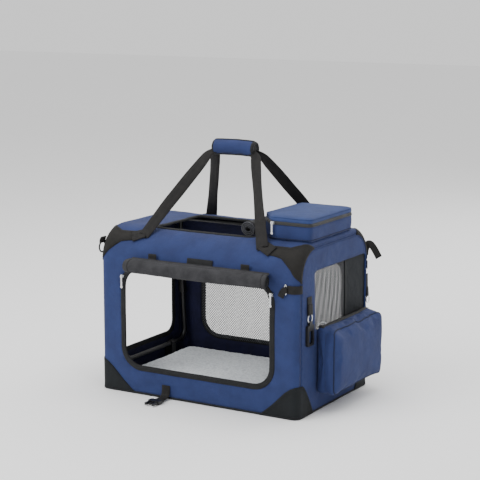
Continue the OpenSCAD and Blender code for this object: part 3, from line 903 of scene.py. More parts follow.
def curve(points: Sequence[Sequence[float]], count: int) -> list[Vector]:
    """Smooth line through a few points.

    Args:
        points: points that the line passes through, in millimetres.
        count: points between one and the next.

    Returns:
        Points of the line, in metres.
    """
    p = [Vector(q) * MM for q in points]
    p = [2 * p[0] - p[1], *p, 2 * p[-1] - p[-2]]
    out = []
    for k in range(1, len(p) - 2):
        for i in range(count):
            f = i / count
            out.append(0.5 * (2 * p[k] + (p[k + 1] - p[k - 1]) * f
                              + (2 * p[k - 1] - 5 * p[k] + 4 * p[k + 1] - p[k + 2]) * f * f
                              + (3 * p[k] - p[k - 1] - 3 * p[k + 1] + p[k + 2]) * f ** 3))
    return [*out, p[-2]]


def offset_ring(ring: Sequence[Point2], by: float) -> list[Point2]:
    """Outline moved outward by a distance, for a counter-clockwise ring."""
    out = []
    n = len(ring)
    for k in range(n):
        a, b, c = Vector(ring[k - 1]), Vector(ring[k]), Vector(ring[(k + 1) % n])
        d = ((b - a).normalized() + (c - b).normalized()).normalized()
        out.append((b.x + d.y * by, b.y - d.x * by))
    return out


def puff(piece: bpy.types.Object, cap_mm: float, voxel_mm: float = 5.0,
         pressure: float = 4.0) -> None:
    """Blows a stuffed piece up as cloth, no further than its cap, and keeps the result.

    Args:
        piece: closed piece, whose mesh is replaced.
        cap_mm: furthest that a point may move.
        voxel_mm: size of the even mesh that the simulation uses.
        pressure: air pressure inside.
    """
    harden(piece, "REMESH", mode="VOXEL", voxel_size=voxel_mm * MM)
    start = np.array([v.co for v in piece.data.vertices])
    settings = piece.modifiers.new("cloth", "CLOTH").settings
    settings.quality = 5
    settings.use_pressure = True
    settings.uniform_pressure_force = pressure
    settings.effector_weights.gravity = 0.0
    scene = bpy.context.scene
    for step in range(1, 21):
        scene.frame_set(step)
    graph = bpy.context.evaluated_depsgraph_get()
    done = bpy.data.meshes.new_from_object(piece.evaluated_get(graph))
    piece.modifiers.clear()
    moved = np.array([v.co for v in done.vertices]) - start
    far = np.linalg.norm(moved, axis=1, keepdims=True)
    moved *= np.minimum(1.0, cap_mm * MM / np.maximum(far, 1e-9))
    done.vertices.foreach_set("co", (start + moved).ravel())
    piece.data = done
    scene.frame_set(1)
    harden(piece, "SUBSURF", levels=1, render_levels=1)
    piece.data.polygons.foreach_set("use_smooth", [True] * len(piece.data.polygons))
    box_layout(piece.data)


def repaint(piece: bpy.types.Object, mark: Callable[[Vector, Vector], int]) -> None:
    """Gives each face of a piece a finish, picked from its middle and its normal."""
    for face in piece.data.polygons:
        face.material_index = mark(face.center, face.normal)


def wear(node: str, finish: Finish) -> None:
    """Gives a CAD part whose shape is right its real finish."""
    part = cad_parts[node]
    material = finish.make()
    if not part.material_slots:
        part.data.materials.append(material)
    for held in part.material_slots:
        held.material = material


# ---------------------------------------------------------------- studio


@dataclass
class Studio:
    """Pale floor, soft light and the camera."""

    turn: float = math.radians(30.579)
    rise: float = math.radians(10.239)
    away: float = 3.9328
    lens: float = 109.17
    aim_side: float = 0.012573
    aim_up: float = 0.199096
    aim_height: float = 0.2

    def build(self) -> None:
        """Adds the camera, the lights and the floor."""
        back = Vector((math.sin(self.turn) * math.cos(self.rise),
                       -math.cos(self.turn) * math.cos(self.rise), math.sin(self.rise)))
        right = Vector((math.cos(self.turn), math.sin(self.turn), 0))
        up = right.cross(-back)
        target = Vector((0, 0, self.aim_height)) + right * self.aim_side + up * self.aim_up
        lens = bpy.data.cameras.new("camera")
        lens.lens, lens.sensor_width = self.lens, 36.0
        lens.clip_end = 50.0
        camera = bpy.data.objects.new("camera", lens)
        bpy.context.scene.collection.objects.link(camera)
        camera.matrix_world = Matrix.Translation(target + back * self.away) @ Matrix(
            (right, up, back)).transposed().to_4x4()
        bpy.context.scene.camera = camera
        self.lamp("key", (-1.3, -2.6, 2.6), 2.4, 84.0)
        self.lamp("fill", (2.8, -1.6, 1.6), 2.2, 7.0)
        self.lamp("back light", (0.8, 2.6, 2.2), 2.6, 42.0)
        self.lamp("top light", (0.0, 0.0, 3.2), 2.6, 48.0)
        world = bpy.data.worlds.new("studio")
        bpy.context.scene.world = world
        world.use_nodes = True
        ground = world.node_tree.nodes["Background"]
        ground.inputs["Color"].default_value = linear("#ffffff")
        ground.inputs["Strength"].default_value = 1.0
        self.floor()

    def lamp(self, name: str, place: tuple[float, float, float], size: float,
             power: float) -> None:
        """Adds a large square light that looks at the bag.

        Args:
            name: name of the light.
            place: where it stands, in metres.
            size: width of the light.
            power: power in watts.
        """
        data = bpy.data.lights.new(name, "AREA")
        data.energy, data.size = power, size
        light = bpy.data.objects.new(name, data)
        bpy.context.scene.collection.objects.link(light)
        light.location = place
        look = Vector((0, 0, 0.25)) - Vector(place)
        light.rotation_euler = look.to_track_quat("-Z", "Y").to_euler()

    def floor(self) -> None:
        """Adds the pale floor, one flat square."""
        mesh = bpy.data.meshes.new("floor")
        wide = 14.0
        mesh.from_pydata([(-wide, -wide, 0), (wide, -wide, 0), (wide, wide, 0), (-wide, wide, 0)],
                         [], [(0, 1, 2, 3)])
        floor = bpy.data.objects.new("floor", mesh)
        bpy.context.scene.collection.objects.link(floor)
        floor.location.z = -0.0015
        material = bpy.data.materials.new("matt paint, pale")
        material.use_nodes = True
        tree = material.node_tree
        shader = tree.nodes["Principled BSDF"]
        shader.inputs["Roughness"].default_value = 0.9
        grain = add_node(tree, "ShaderNodeTexNoise", {"Scale": 3.0, "Detail": 2.0})
        ramp = add_node(tree, "ShaderNodeValToRGB", Fac=grain.outputs["Fac"])
        ramp.color_ramp.elements[0].color = linear("#f4f4f4")
        ramp.color_ramp.elements[1].color = linear("#f8f8f8")
        tree.links.new(ramp.outputs["Color"], shader.inputs["Base Color"])
        mesh.materials.append(material)


# ---------------------------------------------------------------- shell


@dataclass
class Shell:
    """The sewn box: one strip over front, roof and back, and two end panels."""

    half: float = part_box("right_wall")[1].x
    deep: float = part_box("back_wall")[1].y
    tall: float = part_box("roof_panel")[1].z
    arc: float = 0.090
    edge: float = 0.018
    thick: float = 0.003
    door: tuple[float, float, float, float, float] = (-0.232, 0.232, 0.066, 0.350, 0.060)
    side_window: tuple[float, float, float, float, float] = (-0.114, 0.178, 0.214, 0.368, 0.012)
    left_door: tuple[float, float, float, float, float] = (-0.160, 0.142, 0.076, 0.350, 0.045)
    roof_hole: tuple[float, float, float, float, float] = (-0.175, 0.134, -0.128, 0.096, 0.020)

    @property
    def rise(self) -> float:
        """Height of the straight part of the front and back."""
        return self.tall - self.arc

    @property
    def bend(self) -> float:
        """Length of cloth round one roof edge."""
        return self.arc * math.pi / 2

    @property
    def length(self) -> float:
        """Length of the strip from the bottom front edge to the bottom back edge."""
        return 2 * (self.rise + self.bend + self.deep - self.arc)

    @property
    def wide(self) -> float:
        """Half the width of the strip, measured round its rounded sides."""
        return self.half - self.edge + self.edge * math.pi / 2

    def profile(self, t: float) -> tuple[float, float, float, float]:
        """Place and outward normal of the strip's middle line in the plane of y and z.

        Args:
            t: length of cloth from the bottom front edge.

        Returns:
            y, z and the two parts of the normal.
        """
        if t > self.length / 2:
            y, z, ny, nz = self.profile(self.length - t)
            return -y, z, -ny, nz
        if t < self.rise:
            return -self.deep, t, -1.0, 0.0
        if t < self.rise + self.bend:
            a = (t - self.rise) / self.arc
            y, z = self.arc - self.deep, self.rise
            return (y - self.arc * math.cos(a), z + self.arc * math.sin(a),
                    -math.cos(a), math.sin(a))
        return t - self.rise - self.bend - (self.deep - self.arc), self.tall, 0.0, 1.0

    def at_height(self, z: float) -> float:
        """Length of cloth from the bottom front edge up to a height."""
        if z <= self.rise:
            return z
        return self.rise + self.arc * math.asin(min((z - self.rise) / self.arc, 1.0))

    def across(self, x: float) -> float:
        """Length of cloth from the middle out to a place across the bag."""
        flat = self.half - self.edge
        if abs(x) <= flat:
            return x
        return math.copysign(flat + self.edge * math.asin(min((abs(x) - flat) / self.edge, 1.0)), x)

    def normal(self, u: float, t: float) -> Vector:
        """Outward normal of the strip, without its padding."""
        _, _, ny, nz = self.profile(t)
        a = min(max((abs(u) - self.half + self.edge) / self.edge, 0.0), math.pi / 2)
        return Vector((math.copysign(math.sin(a), u), ny * math.cos(a), nz * math.cos(a)))

    def swell(self, u: float, t: float) -> float:
        """How far the padded cloth stands off its frame, or sags."""
        side = min(t, self.length - t)
        cross = max(0.0, 1 - (u / self.wide) ** 2)
        if side < self.rise:
            out = 3.2 * math.sin(math.pi * min(side / self.rise, 1.0)) * cross
        else:
            far = (side - self.rise) / (self.length / 2 - self.rise)
            out = -5.0 * math.sin(math.pi / 2 * far) ** 2 * cross
        fade = max(0.0, 1 - (abs(u) / self.wide) ** 6) * min(1.0, side / 0.02)
        fold = 1.5 * ripple(Vector((u, t, 0)), 75, 3.1) + 0.7 * ripple(Vector((u, t, 0)), 28, 7.7)
        return (out + fold * fade) * MM

    def point(self, u: float, t: float, out: float = 0.0) -> Vector:
        """Place of a flat point of the strip on the bag.

        Args:
            u: length of cloth from the middle, across the bag; past the seam it goes over the end.
            t: length of cloth from the bottom front edge.
            out: distance outside the cloth.

        Returns:
            The place, in metres.
        """
        y, z, ny, nz = self.profile(t)
        a = max((abs(u) - self.half + self.edge) / self.edge, 0.0)
        if a < math.pi / 2:
            inset = self.edge * (1 - math.cos(a))
            x = min(abs(u), self.half - self.edge) + self.edge * math.sin(a)
        else:
            inset, x = self.edge + abs(u) - self.wide, self.half
        place = Vector((math.copysign(x, u), y - ny * inset, z - nz * inset))
        return place + self.normal(u, t) * (self.swell(u, t) + out)

    def end_point(self, s: float, t: float, out: float, right: bool) -> Vector:
        """Place of a flat point of an end panel.

        Args:
            s: distance across the panel, counted so that it faces outward.
            t: height.
            out: distance outside the cloth.
            right: whether it is the right-hand end.

        Returns:
            The place, in metres.
        """
        low = self.deep - self.edge
        near = min(low - abs(s), self.tall - self.edge - t, t)
        fade = min(max(near / 0.05, 0.0), 1.0)
        push = 2.0 * math.sin(math.pi * min(t / self.tall, 1.0)) + 1.6 * ripple(
            Vector((s, t, 1.0 if right else 4.0)), 80, 5.3) + 0.6 * ripple(
                Vector((s, t, 2.0)), 26, 1.9)
        x = self.half + push * fade * MM + out
        return Vector((x, s, t)) if right else Vector((-x, -s, t))

    def end_outline(self) -> list[Point2]:
        """Edge of an end panel."""
        out = []
        for k in range(97):
            y, z, ny, nz = self.profile(self.length * k / 96)
            out.append((y - ny * self.edge, max(z - nz * self.edge, 0.0)))
        return list(reversed(out))

    def roof_ring(self, by: float = 0.0) -> list[Point2]:
        """Edge of the roof opening on the strip, moved outward by a distance."""
        x0, x1, y0, y1, r = self.roof_hole
        start = self.rise + self.bend
        t0 = self.rise + self.arc * math.acos(min(1.0, -(y0 + self.deep - self.arc) / self.arc))
        t1 = start + y1 + self.deep - self.arc
        return rounded(x0 - by, x1 + by, t0 - by, t1 + by, r + by)

    def door_ring(self, back: bool, by: float = 0.0) -> list[Point2]:
        """Edge of the front door or of the back window on the strip."""
        x0, x1, z0, z1, r = self.door
        low, high = (self.length - z1, self.length - z0) if back else (z0, z1)
        return rounded(x0 - by, x1 + by, low - by, high + by, r + by)

    def build(self) -> None:
        """Builds the strip, the end panels and their seams."""
        x = self.wide
        outline = [(-x, 0.0), (x, 0.0), (x, self.length), (-x, self.length)]
        holes = [self.door_ring(False), self.door_ring(True), self.roof_ring()]
        strip = cloth("body_cloth", outline, holes, self.point, 0.009, self.thick,
                      [BLUE, LINING], "base")
        ring_area(outline) - sum(ring_area(hole) for hole in holes)
        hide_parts("front_wall", "back_wall", "roof_panel")
        soft(strip)
        for right, name, window in ((True, "right_end", self.side_window),
                                    (False, "left_end", self.left_door)):
            hole = rounded(*window)
            if right:
                place = lambda s, t: self.end_point(s, t, 0.0, True)
            else:
                place = lambda s, t: self.end_point(s, t, 0.0, False)
            panel = cloth(name + "_cloth", self.end_outline(), [hole], place, 0.009, self.thick,
                          [BLUE, LINING], "base")
            ring_area(self.end_outline()) - ring_area(hole)
            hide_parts("right_wall" if right else "left_wall")
            soft(panel)
        for side in (-1, 1):
            ts = [self.length * k / 180 for k in range(181)]
            u = side * (self.wide + 0.0006)
            line = [self.point(u, t, 0.0006) for t in ts]
            ups = [self.normal(side * self.wide * 0.97, t) for t in ts]
            tag = "right" if side > 0 else "left"
            soft(sweep(f"{tag}_end_seam", line, ups, round_section(1.1 * MM, 8), BLUE, "base"))
            row = [self.point(side * (self.wide - 0.006), t, 0.0003) for t in ts]
            soft(stitches(f"{tag}_end_stitches", row, ups, "base"))
        self.edges()

    def edges(self) -> None:
        """Builds the piping round the bottom edge and the cloth under the floor."""
        ring = rounded(-self.half, self.half, -self.deep, self.deep, self.edge, 10)
        ring = divided(ring, 0.02)
        path = [Vector((a, b, 0.0026)) for a, b in ring]
        up = Vector((0, 0, 1))
        piping = sweep("bottom_piping", path, [up] * len(path), round_section(2.5 * MM), BINDING,
                       "base", closed=True)
        soft(piping)
        flat = rounded(1 * MM - self.half, self.half - 1 * MM, 1 * MM - self.deep,
                       self.deep - 1 * MM, self.edge, 6)
        under = cloth("bottom_cloth", flat, [], lambda s, t: Vector((s, t, 2.6 * MM)), 0.02,
                      2.2 * MM, [LINING], "base")
        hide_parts("bottom_panel")


def even(ring: Sequence[Point2], count: int) -> list[Point2]:
    """The outline with a fixed number of evenly spaced points."""
    loop = [*ring, ring[0]]
    runs = np.append(0.0, np.cumsum([math.dist(a, b) for a, b in zip(loop, loop[1:])]))
    at = np.linspace(0, runs[-1], count, endpoint=False)
    return list(zip(np.interp(at, runs, [p[0] for p in loop]).tolist(),
                    np.interp(at, runs, [p[1] for p in loop]).tolist()))


def softened(corners: Sequence[Point2], r: float, turns: int = 6) -> list[Point2]:
    """Outline with its corners rounded off over a distance r along each side."""
    out: list[Point2] = []
    n = len(corners)
    for k in range(n):
        a, b, c = Vector(corners[k - 1]), Vector(corners[k]), Vector(corners[(k + 1) % n])
        p, q = b + (a - b).normalized() * r, b + (c - b).normalized() * r
        for i in range(turns + 1):
            f = i / turns
            out.append(tuple(p * (1 - f) ** 2 + b * 2 * f * (1 - f) + q * f * f))
    return out


def laid(piece: bpy.types.Object, path: Sequence[Vector],
         out: float) -> tuple[list[Vector], list[Vector]]:
    """Moves a path onto the surface of a piece.

    Args:
        piece: the piece that it lies on.
        path: points near the surface.
        out: distance outside the surface.

    Returns:
        The points and the surface normals there.
    """
    points, ups = [], []
    for p in path:
        _, place, normal, _ = piece.closest_point_on_mesh(p)
        points.append(place + normal * out)
        ups.append(normal.copy())
    return points, ups


@dataclass
class Bindings:
    """Black tape folded over the cut edges of the door, windows and roof opening."""

    shell: Shell
    width: float = 0.015
    thick: float = 0.0055
    inset: float = 0.0055

    def trim(self, name: str, ring: Sequence[Point2], end: bool, node: str,
             width: float | None = None) -> None:
        """Lays the tape round one opening.

        Args:
            name: name of the piece.
            ring: middle line of the tape.
            end: whether it is on the left end panel.
            node: CAD node that it stands for.
            width: width of the tape, if it isn't the usual one.
        """
        line = divided(ring, 0.008)
        if end:
            path = [self.shell.end_point(a, b, -0.0008, False) for a, b in line]
            ups = [Vector((-1, 0, 0))] * len(line)
        else:
            path = [self.shell.point(a, b, -0.0008) for a, b in line]
            ups = [self.shell.normal(a, b) for a, b in line]
        piece = band(name, path, ups, width or self.width, self.thick, BINDING, "base", closed=True)
        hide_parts(node)
        soft(piece)
        edge = [p + u * (self.thick / 2 + 0.0002) for p, u in zip(path, ups)]
        soft(stitches(name + "_stitches", edge, ups, "base", closed=True))

    def build(self) -> None:
        """Builds all four bindings."""
        self.trim("front_door_tape", self.shell.door_ring(False, -self.inset), False,
                  "front_door_binding")
        self.trim("back_window_tape", self.shell.door_ring(True, -self.inset), False,
                  "back_window_binding")
        x0, x1, z0, z1, r = self.shell.left_door
        g = self.inset
        self.trim("left_door_tape", rounded(x0 + g, x1 - g, z0 + g, z1 - g, r - g), True,
                  "left_door_binding")
        self.trim("roof_opening_tape", self.shell.roof_ring(-0.002), False, "top_door_binding",
                  width=0.011)


@dataclass
class Windows:
    """Knitted netting in the back and right-hand windows, and the flap behind the right one."""

    shell: Shell
    pitch: float = 0.0048
    thread: float = 0.0015
    flap_from: float = 0.061

    def net(self, name: str, ring: Sequence[Point2], place: Callable[[float, float, float], Vector],
            node: str) -> None:
        """Two crossing families of slanted threads, cut to an outline.

        Args:
            name: name of the piece.
            ring: edge of the netting.
            place: where a flat point lies, given its distance outside as well.
            node: CAD node that it stands for.
        """
        pts = np.array(ring)
        verts, faces, flat = [], [], []
        for turn in (math.radians(52), math.radians(-52)):
            d, n = np.array([math.cos(turn), math.sin(turn)]), np.array(
                [-math.sin(turn), math.cos(turn)])
            off = pts @ n
            lift = 0.0003 if turn > 0 else -0.0003
            for c in np.arange(off.min() + self.pitch / 2, off.max(), self.pitch):
                hits = []
                for k in range(len(pts)):
                    a, b = off[k - 1] - c, off[k] - c
                    if (a > 0) != (b > 0):
                        hits.append(float((pts[k - 1] + (pts[k] - pts[k - 1]) * a / (a - b)) @ d))
                hits.sort()
                for s0, s1 in zip(hits[::2], hits[1::2]):
                    parts = max(2, int((s1 - s0) / 0.045))
                    first = len(verts)
                    for k in range(parts + 1):
                        mid = d * (s0 + (s1 - s0) * k / parts) + n * c
                        for w, h in ((-1, -1), (1, -1), (1, 1), (-1, 1)):
                            q = mid + n * w * self.thread / 2
                            verts.append(place(q[0], q[1], lift + h * 0.0003))
                            flat.append((float(q[0]), float(q[1])))
                    for k in range(parts):
                        for i in range(4):
                            a, b = first + 4 * k + i, first + 4 * k + (i + 1) % 4
                            faces.append((a, b, b + 4, a + 4))
                    faces.append((first + 3, first + 2, first + 1, first))
                    last = first + 4 * parts
                    faces.append((last, last + 1, last + 2, last + 3))
        mesh = bpy.data.meshes.new(name)
        mesh.from_pydata([tuple(v) for v in verts], [], faces)
        layer = mesh.uv_layers.new(name="cloth")
        for loop in mesh.loops:
            layer.data[loop.index].uv = flat[loop.vertex_index]
        piece = finish_mesh(name, mesh, [NET], "base", smooth=False)
        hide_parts(node)
        soft(piece)

    def build(self) -> None:
        """Builds both nets and the flap."""
        shell = self.shell
        self.net("back_net", shell.door_ring(True, -0.004),
                 lambda s, t, out: shell.point(s, t, out - 0.0035), "back_window_mesh")
        x0, x1, z0, z1, r = shell.side_window
        self.net("right_net", rounded(x0 - 0.006, self.flap_from, z0 - 0.006, z1 + 0.006, 0.004),
                 lambda s, t, out: shell.end_point(s, t, out - 0.0045, True), "right_window_mesh")
        flap = cloth("window_flap", rounded(self.flap_from - 0.004, x1 + 0.003, z0 - 0.006,
                                            z1 + 0.006, 0.004), [],
                     lambda s, t: shell.end_point(s, t, -0.0036, True), 0.01, 0.0012, [FLAP],
                     "base")
        soft(flap)
        fold = [shell.end_point(self.flap_from, z0 + (z1 - z0) * k / 20, -0.002, True)
                for k in range(21)]
        soft(band("window_flap_hem", fold, [Vector((1, 0, 0))] * 21, 0.007, 0.0016, BINDING,
                  "base"))


@dataclass
class Roll:
    """A door or flap rolled up and held by two ties."""

    name: str
    middle: Vector
    axis: Vector
    away: Vector
    up: Vector
    start: float
    end: float
    radius: float
    tie_at: tuple[float, float]
    nodes: tuple[str, str]
    body: str
    seed: float
    edging: Finish = BINDING
    turns: float = 3.4
    core: float = 0.0045
    thick: float = 0.0021
    tail: tuple[Point2, ...] = ((-0.42, 0.98), (-0.72, 0.92), (-0.9, 0.98), (-0.955, 1.1))

    def spot(self, s: float, a: float, b: float) -> Vector:
        """Point at a distance along the roll, away from the wall and up."""
        return self.middle + self.axis * s + self.away * a + self.up * b

    def build(self) -> None:
        """Builds the rolled sheet and its two ties."""
        turn_end = math.radians(100)
        total = self.turns * 2 * math.pi
        columns = 100
        rows = 70
        grid = np.zeros((rows, columns + 8, 3))
        rim = self.radius - self.thick / 2
        for i in range(rows):
            f = i / (rows - 1)
            s = self.start + (self.end - self.start) * f
            pinch = sum(math.exp(-((s - c) / 0.016) ** 2) for c in self.tie_at)
            sag = -0.0018 * math.sin(math.pi * f) ** 2
            line: list[Point2] = []
            for j in range(columns):
                g = j / (columns - 1)
                a = turn_end - total * (1 - g)
                r = self.core + (rim - self.core) * g
                r *= 1 - 0.035 * pinch + 0.035 * ripple(
                    Vector((s, 0.02 * math.cos(a), 0.02 * math.sin(a))), 42, self.seed)
                line.append((r * math.cos(a), r * math.sin(a) + sag))
            steps = np.linspace(0, 1, 9)[1:]
            tails = [Vector((line[-1][0], line[-1][1]))] + [
                Vector((p[0] * self.radius, p[1] * self.radius)) for p in self.tail]
            for g in steps:
                k = min(int(g * 4), 3)
                p = tails[k].lerp(tails[k + 1], g * 4 - k)
                line.append((p.x, p.y))
            slip = 0.004 * math.copysign(1, f - 0.5) * (abs(2 * f - 1) ** 8)
            for j, (a, b) in enumerate(line):
                lean = slip * math.sin(j * 0.21 + self.seed)
                grid[i, j] = self.spot(s + lean, min(a, 1.02 * self.radius), b)
        sheet = woven_strip(self.name, grid, self.thick, [ROLL], self.body)
        steps = np.linalg.norm(np.diff(grid, axis=1), axis=2).sum(1).mean()
        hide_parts(self.nodes[0])
        self.hold(sheet)
        rise = (self.end - self.start) / (rows - 1)
        for tag, i in (("near", 0), ("far", rows - 1)):
            spiral = [Vector(p) for p in grid[i, 4:columns]]
            path = [p.lerp(q, 0.5) for p, q in zip(spiral[:-1:2], spiral[1::2])]
            self.trim(f"{self.name}_{tag}_edge", path, self.start + rise * i, 0.0, 1.3, self.edging)
        for tag, i in (("near", 2), ("far", rows - 3)):
            path = [Vector(p) for p in grid[i, columns - 29:columns]]
            self.trim(f"{self.name}_{tag}_hem", path, self.start + rise * i, 1.3, 0.8, THREAD)
        for k, c in enumerate(self.tie_at):
            line = [(-1.02, 1.86), (-1.0, 1.6), (-0.99, 1.3), (-0.96, 1.0)]
            line += [(1.05 * math.cos(math.radians(a)), 1.05 * math.sin(math.radians(a)))
                     for a in range(142, 251, 9)]
            path = [self.spot(c, a * self.radius, b * self.radius) for a, b in line]
            ups = [(self.away * 1.0 + self.up * 0.4).normalized()] * 4
            ups += [(p - self.spot(c, 0, 0)).normalized() for p in path[4:]]
            tie = band(f"{self.name}_tie_{k + 1}", path, ups, 0.025, 0.0013, WEB, self.body)
            if not k:
                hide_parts(self.nodes[1])
            self.hold(tie)

    def trim(self, name: str, points: Sequence[Vector], s: float, out_mm: float, round_mm: float,
             finish: Finish) -> None:
        """Sews a cord round one end of the roll.

        Args:
            name: name of the piece.
            points: line of the cord.
            s: how far along the roll the line lies.
            out_mm: distance that the cord stands off the line.
            round_mm: radius of the cord.
            finish: what the cord is made of.
        """
        middle = self.spot(s, 0, 0)
        ups = [(p - middle).normalized() for p in points]
        path = [p + up * out_mm * MM for p, up in zip(points, ups)]
        self.hold(sweep(name, path, ups, round_section(round_mm * MM, 6), finish, self.body))

    def hold(self, piece: bpy.types.Object) -> None:
        """Gives a piece on the walls its own copy of its mesh, and leaves one on the roof as it is.
        """
        if self.body == "base":
            soft(piece)


@dataclass
class Patches:
    """Hard-wearing cloth sewn over the upper and lower corners, and the plain front label."""

    shell: Shell
    thick: float = 0.0013
    upper: tuple[Point2, ...] = ((0.300, 0.346), (0.288, 0.365), (0.276, 0.380), (0.259, 0.394),
                                 (0.243, 0.405), (0.222, 0.409), (0.200, 0.4105), (0.182, 0.421),
                                 (0.164, 0.432), (0.210, 0.431), (0.256, 0.430), (0.278, 0.436),
                                 (0.300, 0.4435))
    lower: tuple[Point2, ...] = ((0.190, 0.0), (0.228, 0.032), (0.262, 0.066), (0.280, 0.079),
                                 (0.292, 0.084), (0.310, 0.085), (0.318, 0.083), (0.326, 0.077),
                                 (0.338, 0.062), (0.360, 0.028), (0.375, 0.0))

    def patch(self, name: str, shape: Sequence[Point2], side: int, back: bool,
              finish: Finish, node: str | None) -> None:
        """Sews one patch on.

        Args:
            name: name of the piece.
            shape: outline on the right-hand front corner of the strip.
            side: 1 for the right-hand end, -1 for the left.
            back: whether it is on the back.
            finish: cloth.
            node: CAD node that it stands for.
        """
        shell = self.shell
        full = divided(shape, 0.006)
        if sum(a[0] * b[1] - b[0] * a[1] for a, b in zip(full, full[1:] + full[:1])) < 0:
            full.reverse()

        def turned(ring: Sequence[Point2]) -> list[Point2]:
            """The outline on this patch's own corner."""
            return [(side * u, shell.length - t if back else t) for u, t in ring]

        piece = cloth(name, turned(full), [], lambda u, t: shell.point(u, t, 0.0017), 0.006,
                      self.thick, [finish], "base")
        us, ts = [p[0] for p in full], [p[1] for p in full]
        box = (max(us) - min(us), max(ts) - min(ts))
        ring_area(full)
        if node:
            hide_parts(node)
        soft(piece)
        for k, by in enumerate((-0.0035, -0.0075)):
            ring = [(u, max(t, 0.002)) for u, t in turned(offset_ring(full, by))]
            path = [shell.point(u, t, 0.0019) for u, t in ring]
            ups = [shell.normal(u, t) for u, t in ring]
            soft(stitches(f"{name}_stitches_{k + 1}", path, ups, "base", closed=True))

    def build(self) -> None:
        """Builds the eight patches and the label."""
        shell = self.shell
        upper = [(shell.across(x), shell.at_height(z)) for x, z in self.upper]
        first = True
        for side, tag in ((1, "right"), (-1, "left")):
            for back, face in ((False, "front"), (True, "back")):
                self.patch(f"{face}_{tag}_upper_patch", upper, side, back, PATCH,
                           "top_corner_patches" if first else None)
                self.patch(f"{face}_{tag}_lower_patch", self.lower, side, back, LOW_PATCH,
                           "bottom_corner_patches" if first else None)
                first = False
        low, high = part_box("front_label")
        t = shell.at_height((low.z + high.z) / 2)
        line = [low.x + (high.x - low.x) * k / 16 for k in range(17)]
        label = band("front_label_tape", [shell.point(x, t, 0.0024) for x in line],
                     [shell.normal(x, t) for x in line], 0.021, 0.0014, BINDING, "base")
        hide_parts("front_label")
        soft(label)


@dataclass
class Mat:
    """Fleece mat on the floor board."""

    round_mm: float = 17.0

    def build(self) -> None:
        """Builds the stuffed mat with its tufted upper side."""
        low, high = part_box("fleece_mat")
        ring = rounded(low.x + 0.003, high.x - 0.003, low.y + 0.003, high.y - 0.003, 0.024)

        def crown(x: float, y: float) -> float:
            """Crown of the stuffing with shallow hollows."""
            return (2.0 + 2.5 * ripple(Vector((x, y, 0)), 110, 2.0)
                    + 0.8 * ripple(Vector((x, y, 0)), 18, 6.0)) * MM

        mat = pad("sherpa_mat", ring, 0.008, low.z + 0.6 * MM, high.z - 4 * MM, self.round_mm,
                  crown, [FLEECE], "base")
        puff(mat, 3.0)
        tufts = mat.data
        for v in tufts.vertices:
            if v.normal.z > 0.2:
                v.co.z += 1.3 * MM * ripple(v.co, 7, 9.0)
        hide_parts("fleece_mat")


@dataclass
class SidePocket:
    """Zipped pouch on the right-hand end."""

    count: int = 132
    corner: float = 0.016
    stations: tuple[Point2, ...] = ((0.2, 2.5), (3.0, 0.6), (9.0, -0.5), (18.0, -1.0), (30.0, -1.4),
                                    (42.0, -1.0), (50.0, 0.4), (54.0, 3.0), (56.0, 8.0),
                                    (57.4, 16.0), (58.6, 30.0), (59.4, 48.0), (59.8, 70.0))

    def build(self) -> None:
        """Builds the pouch, its seams and its zip."""
        low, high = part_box("side_pocket")
        rings = []
        for out, inset in self.stations:
            g = inset * MM
            ring = even(rounded(low.y + g, high.y - g, low.z + g, high.z - g,
                                max(self.corner - g, 0.006)), self.count)
            rings.append([self.shaped(Vector((low.x + out * MM, y, z)), low, high)
                          for y, z in ring])
        pouch = loft("side_pouch", rings, [BLUE], "base")
        puff(pouch, 5.0, pressure=3.0)
        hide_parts("side_pocket")
        edge = [Vector((high.x - 0.001, y, z)) for y, z in divided(
            rounded(low.y + 0.002, high.y - 0.002, low.z + 0.002, high.z - 0.002, self.corner),
            0.006)]
        self.line(pouch, "side_pouch_seam", edge, 0.0005, True, low)
        crease = [Vector((low.x + 0.031, low.y - 0.002, low.z + 0.012 + 0.0078 * k))
                  for k in range(21)]
        points, ups = laid(pouch, crease, 0.0002)
        soft(stitches("side_pouch_crease", points, ups, "base"))
        self.zip(pouch, low, high)
        soft(pouch)

    def shaped(self, p: Vector, low: Vector, high: Vector) -> Vector:
        """Presses the gusset crease into a point of the pouch and lets its cloth hang."""
        depth = (p.x - low.x) / (high.x - low.x)
        fall = (high.z - p.z) / (high.z - low.z)
        if p.y < low.y + 0.012:
            p.y += 5.0 * MM * math.exp(-((p.x - low.x - 0.031) / 0.006) ** 2)
        p.x += (2.2 * math.sin(math.pi * min(max(fall, 0.0), 1.0)) * depth
                + 1.3 * depth * ripple(p, 60, 4.4) + 0.5 * depth * ripple(p, 24, 8.1)) * MM
        p.z -= (1.5 + 12.5 * (1 - fall)) * MM * depth
        return p

    def line(self, pouch: bpy.types.Object, name: str, path: Sequence[Vector], out: float,
             closed: bool, low: Vector) -> None:
        """Sews a corded seam onto the pouch."""
        points, ups = laid(pouch, path, out)
        soft(sweep(name, points, ups, round_section(1.5 * MM, 8), SEAM, "base", closed=closed))

    def zip(self, pouch: bpy.types.Object, low: Vector, high: Vector) -> None:
        """Builds the zip tape and its coil along the top, next to the wall."""
        count = 40
        y0, y1 = low.y + 0.008, high.y - 0.008
        path = [Vector((low.x + 0.011, y0 + (y1 - y0) * k / count, high.z + 0.004))
                for k in range(count + 1)]
        points, ups = laid(pouch, path, 0.0006)
        tape_piece = band("side_zip_tape", points, ups, 0.017, 0.0014, ZIP, "pocket_zip")
        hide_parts("side_pocket_zip")
        coil = [p + up * 0.0009 for p, up in zip(points, ups)]
        piece = band("side_zip_coil", coil, ups, 0.0055, 0.0018, ZIP, "pocket_zip")


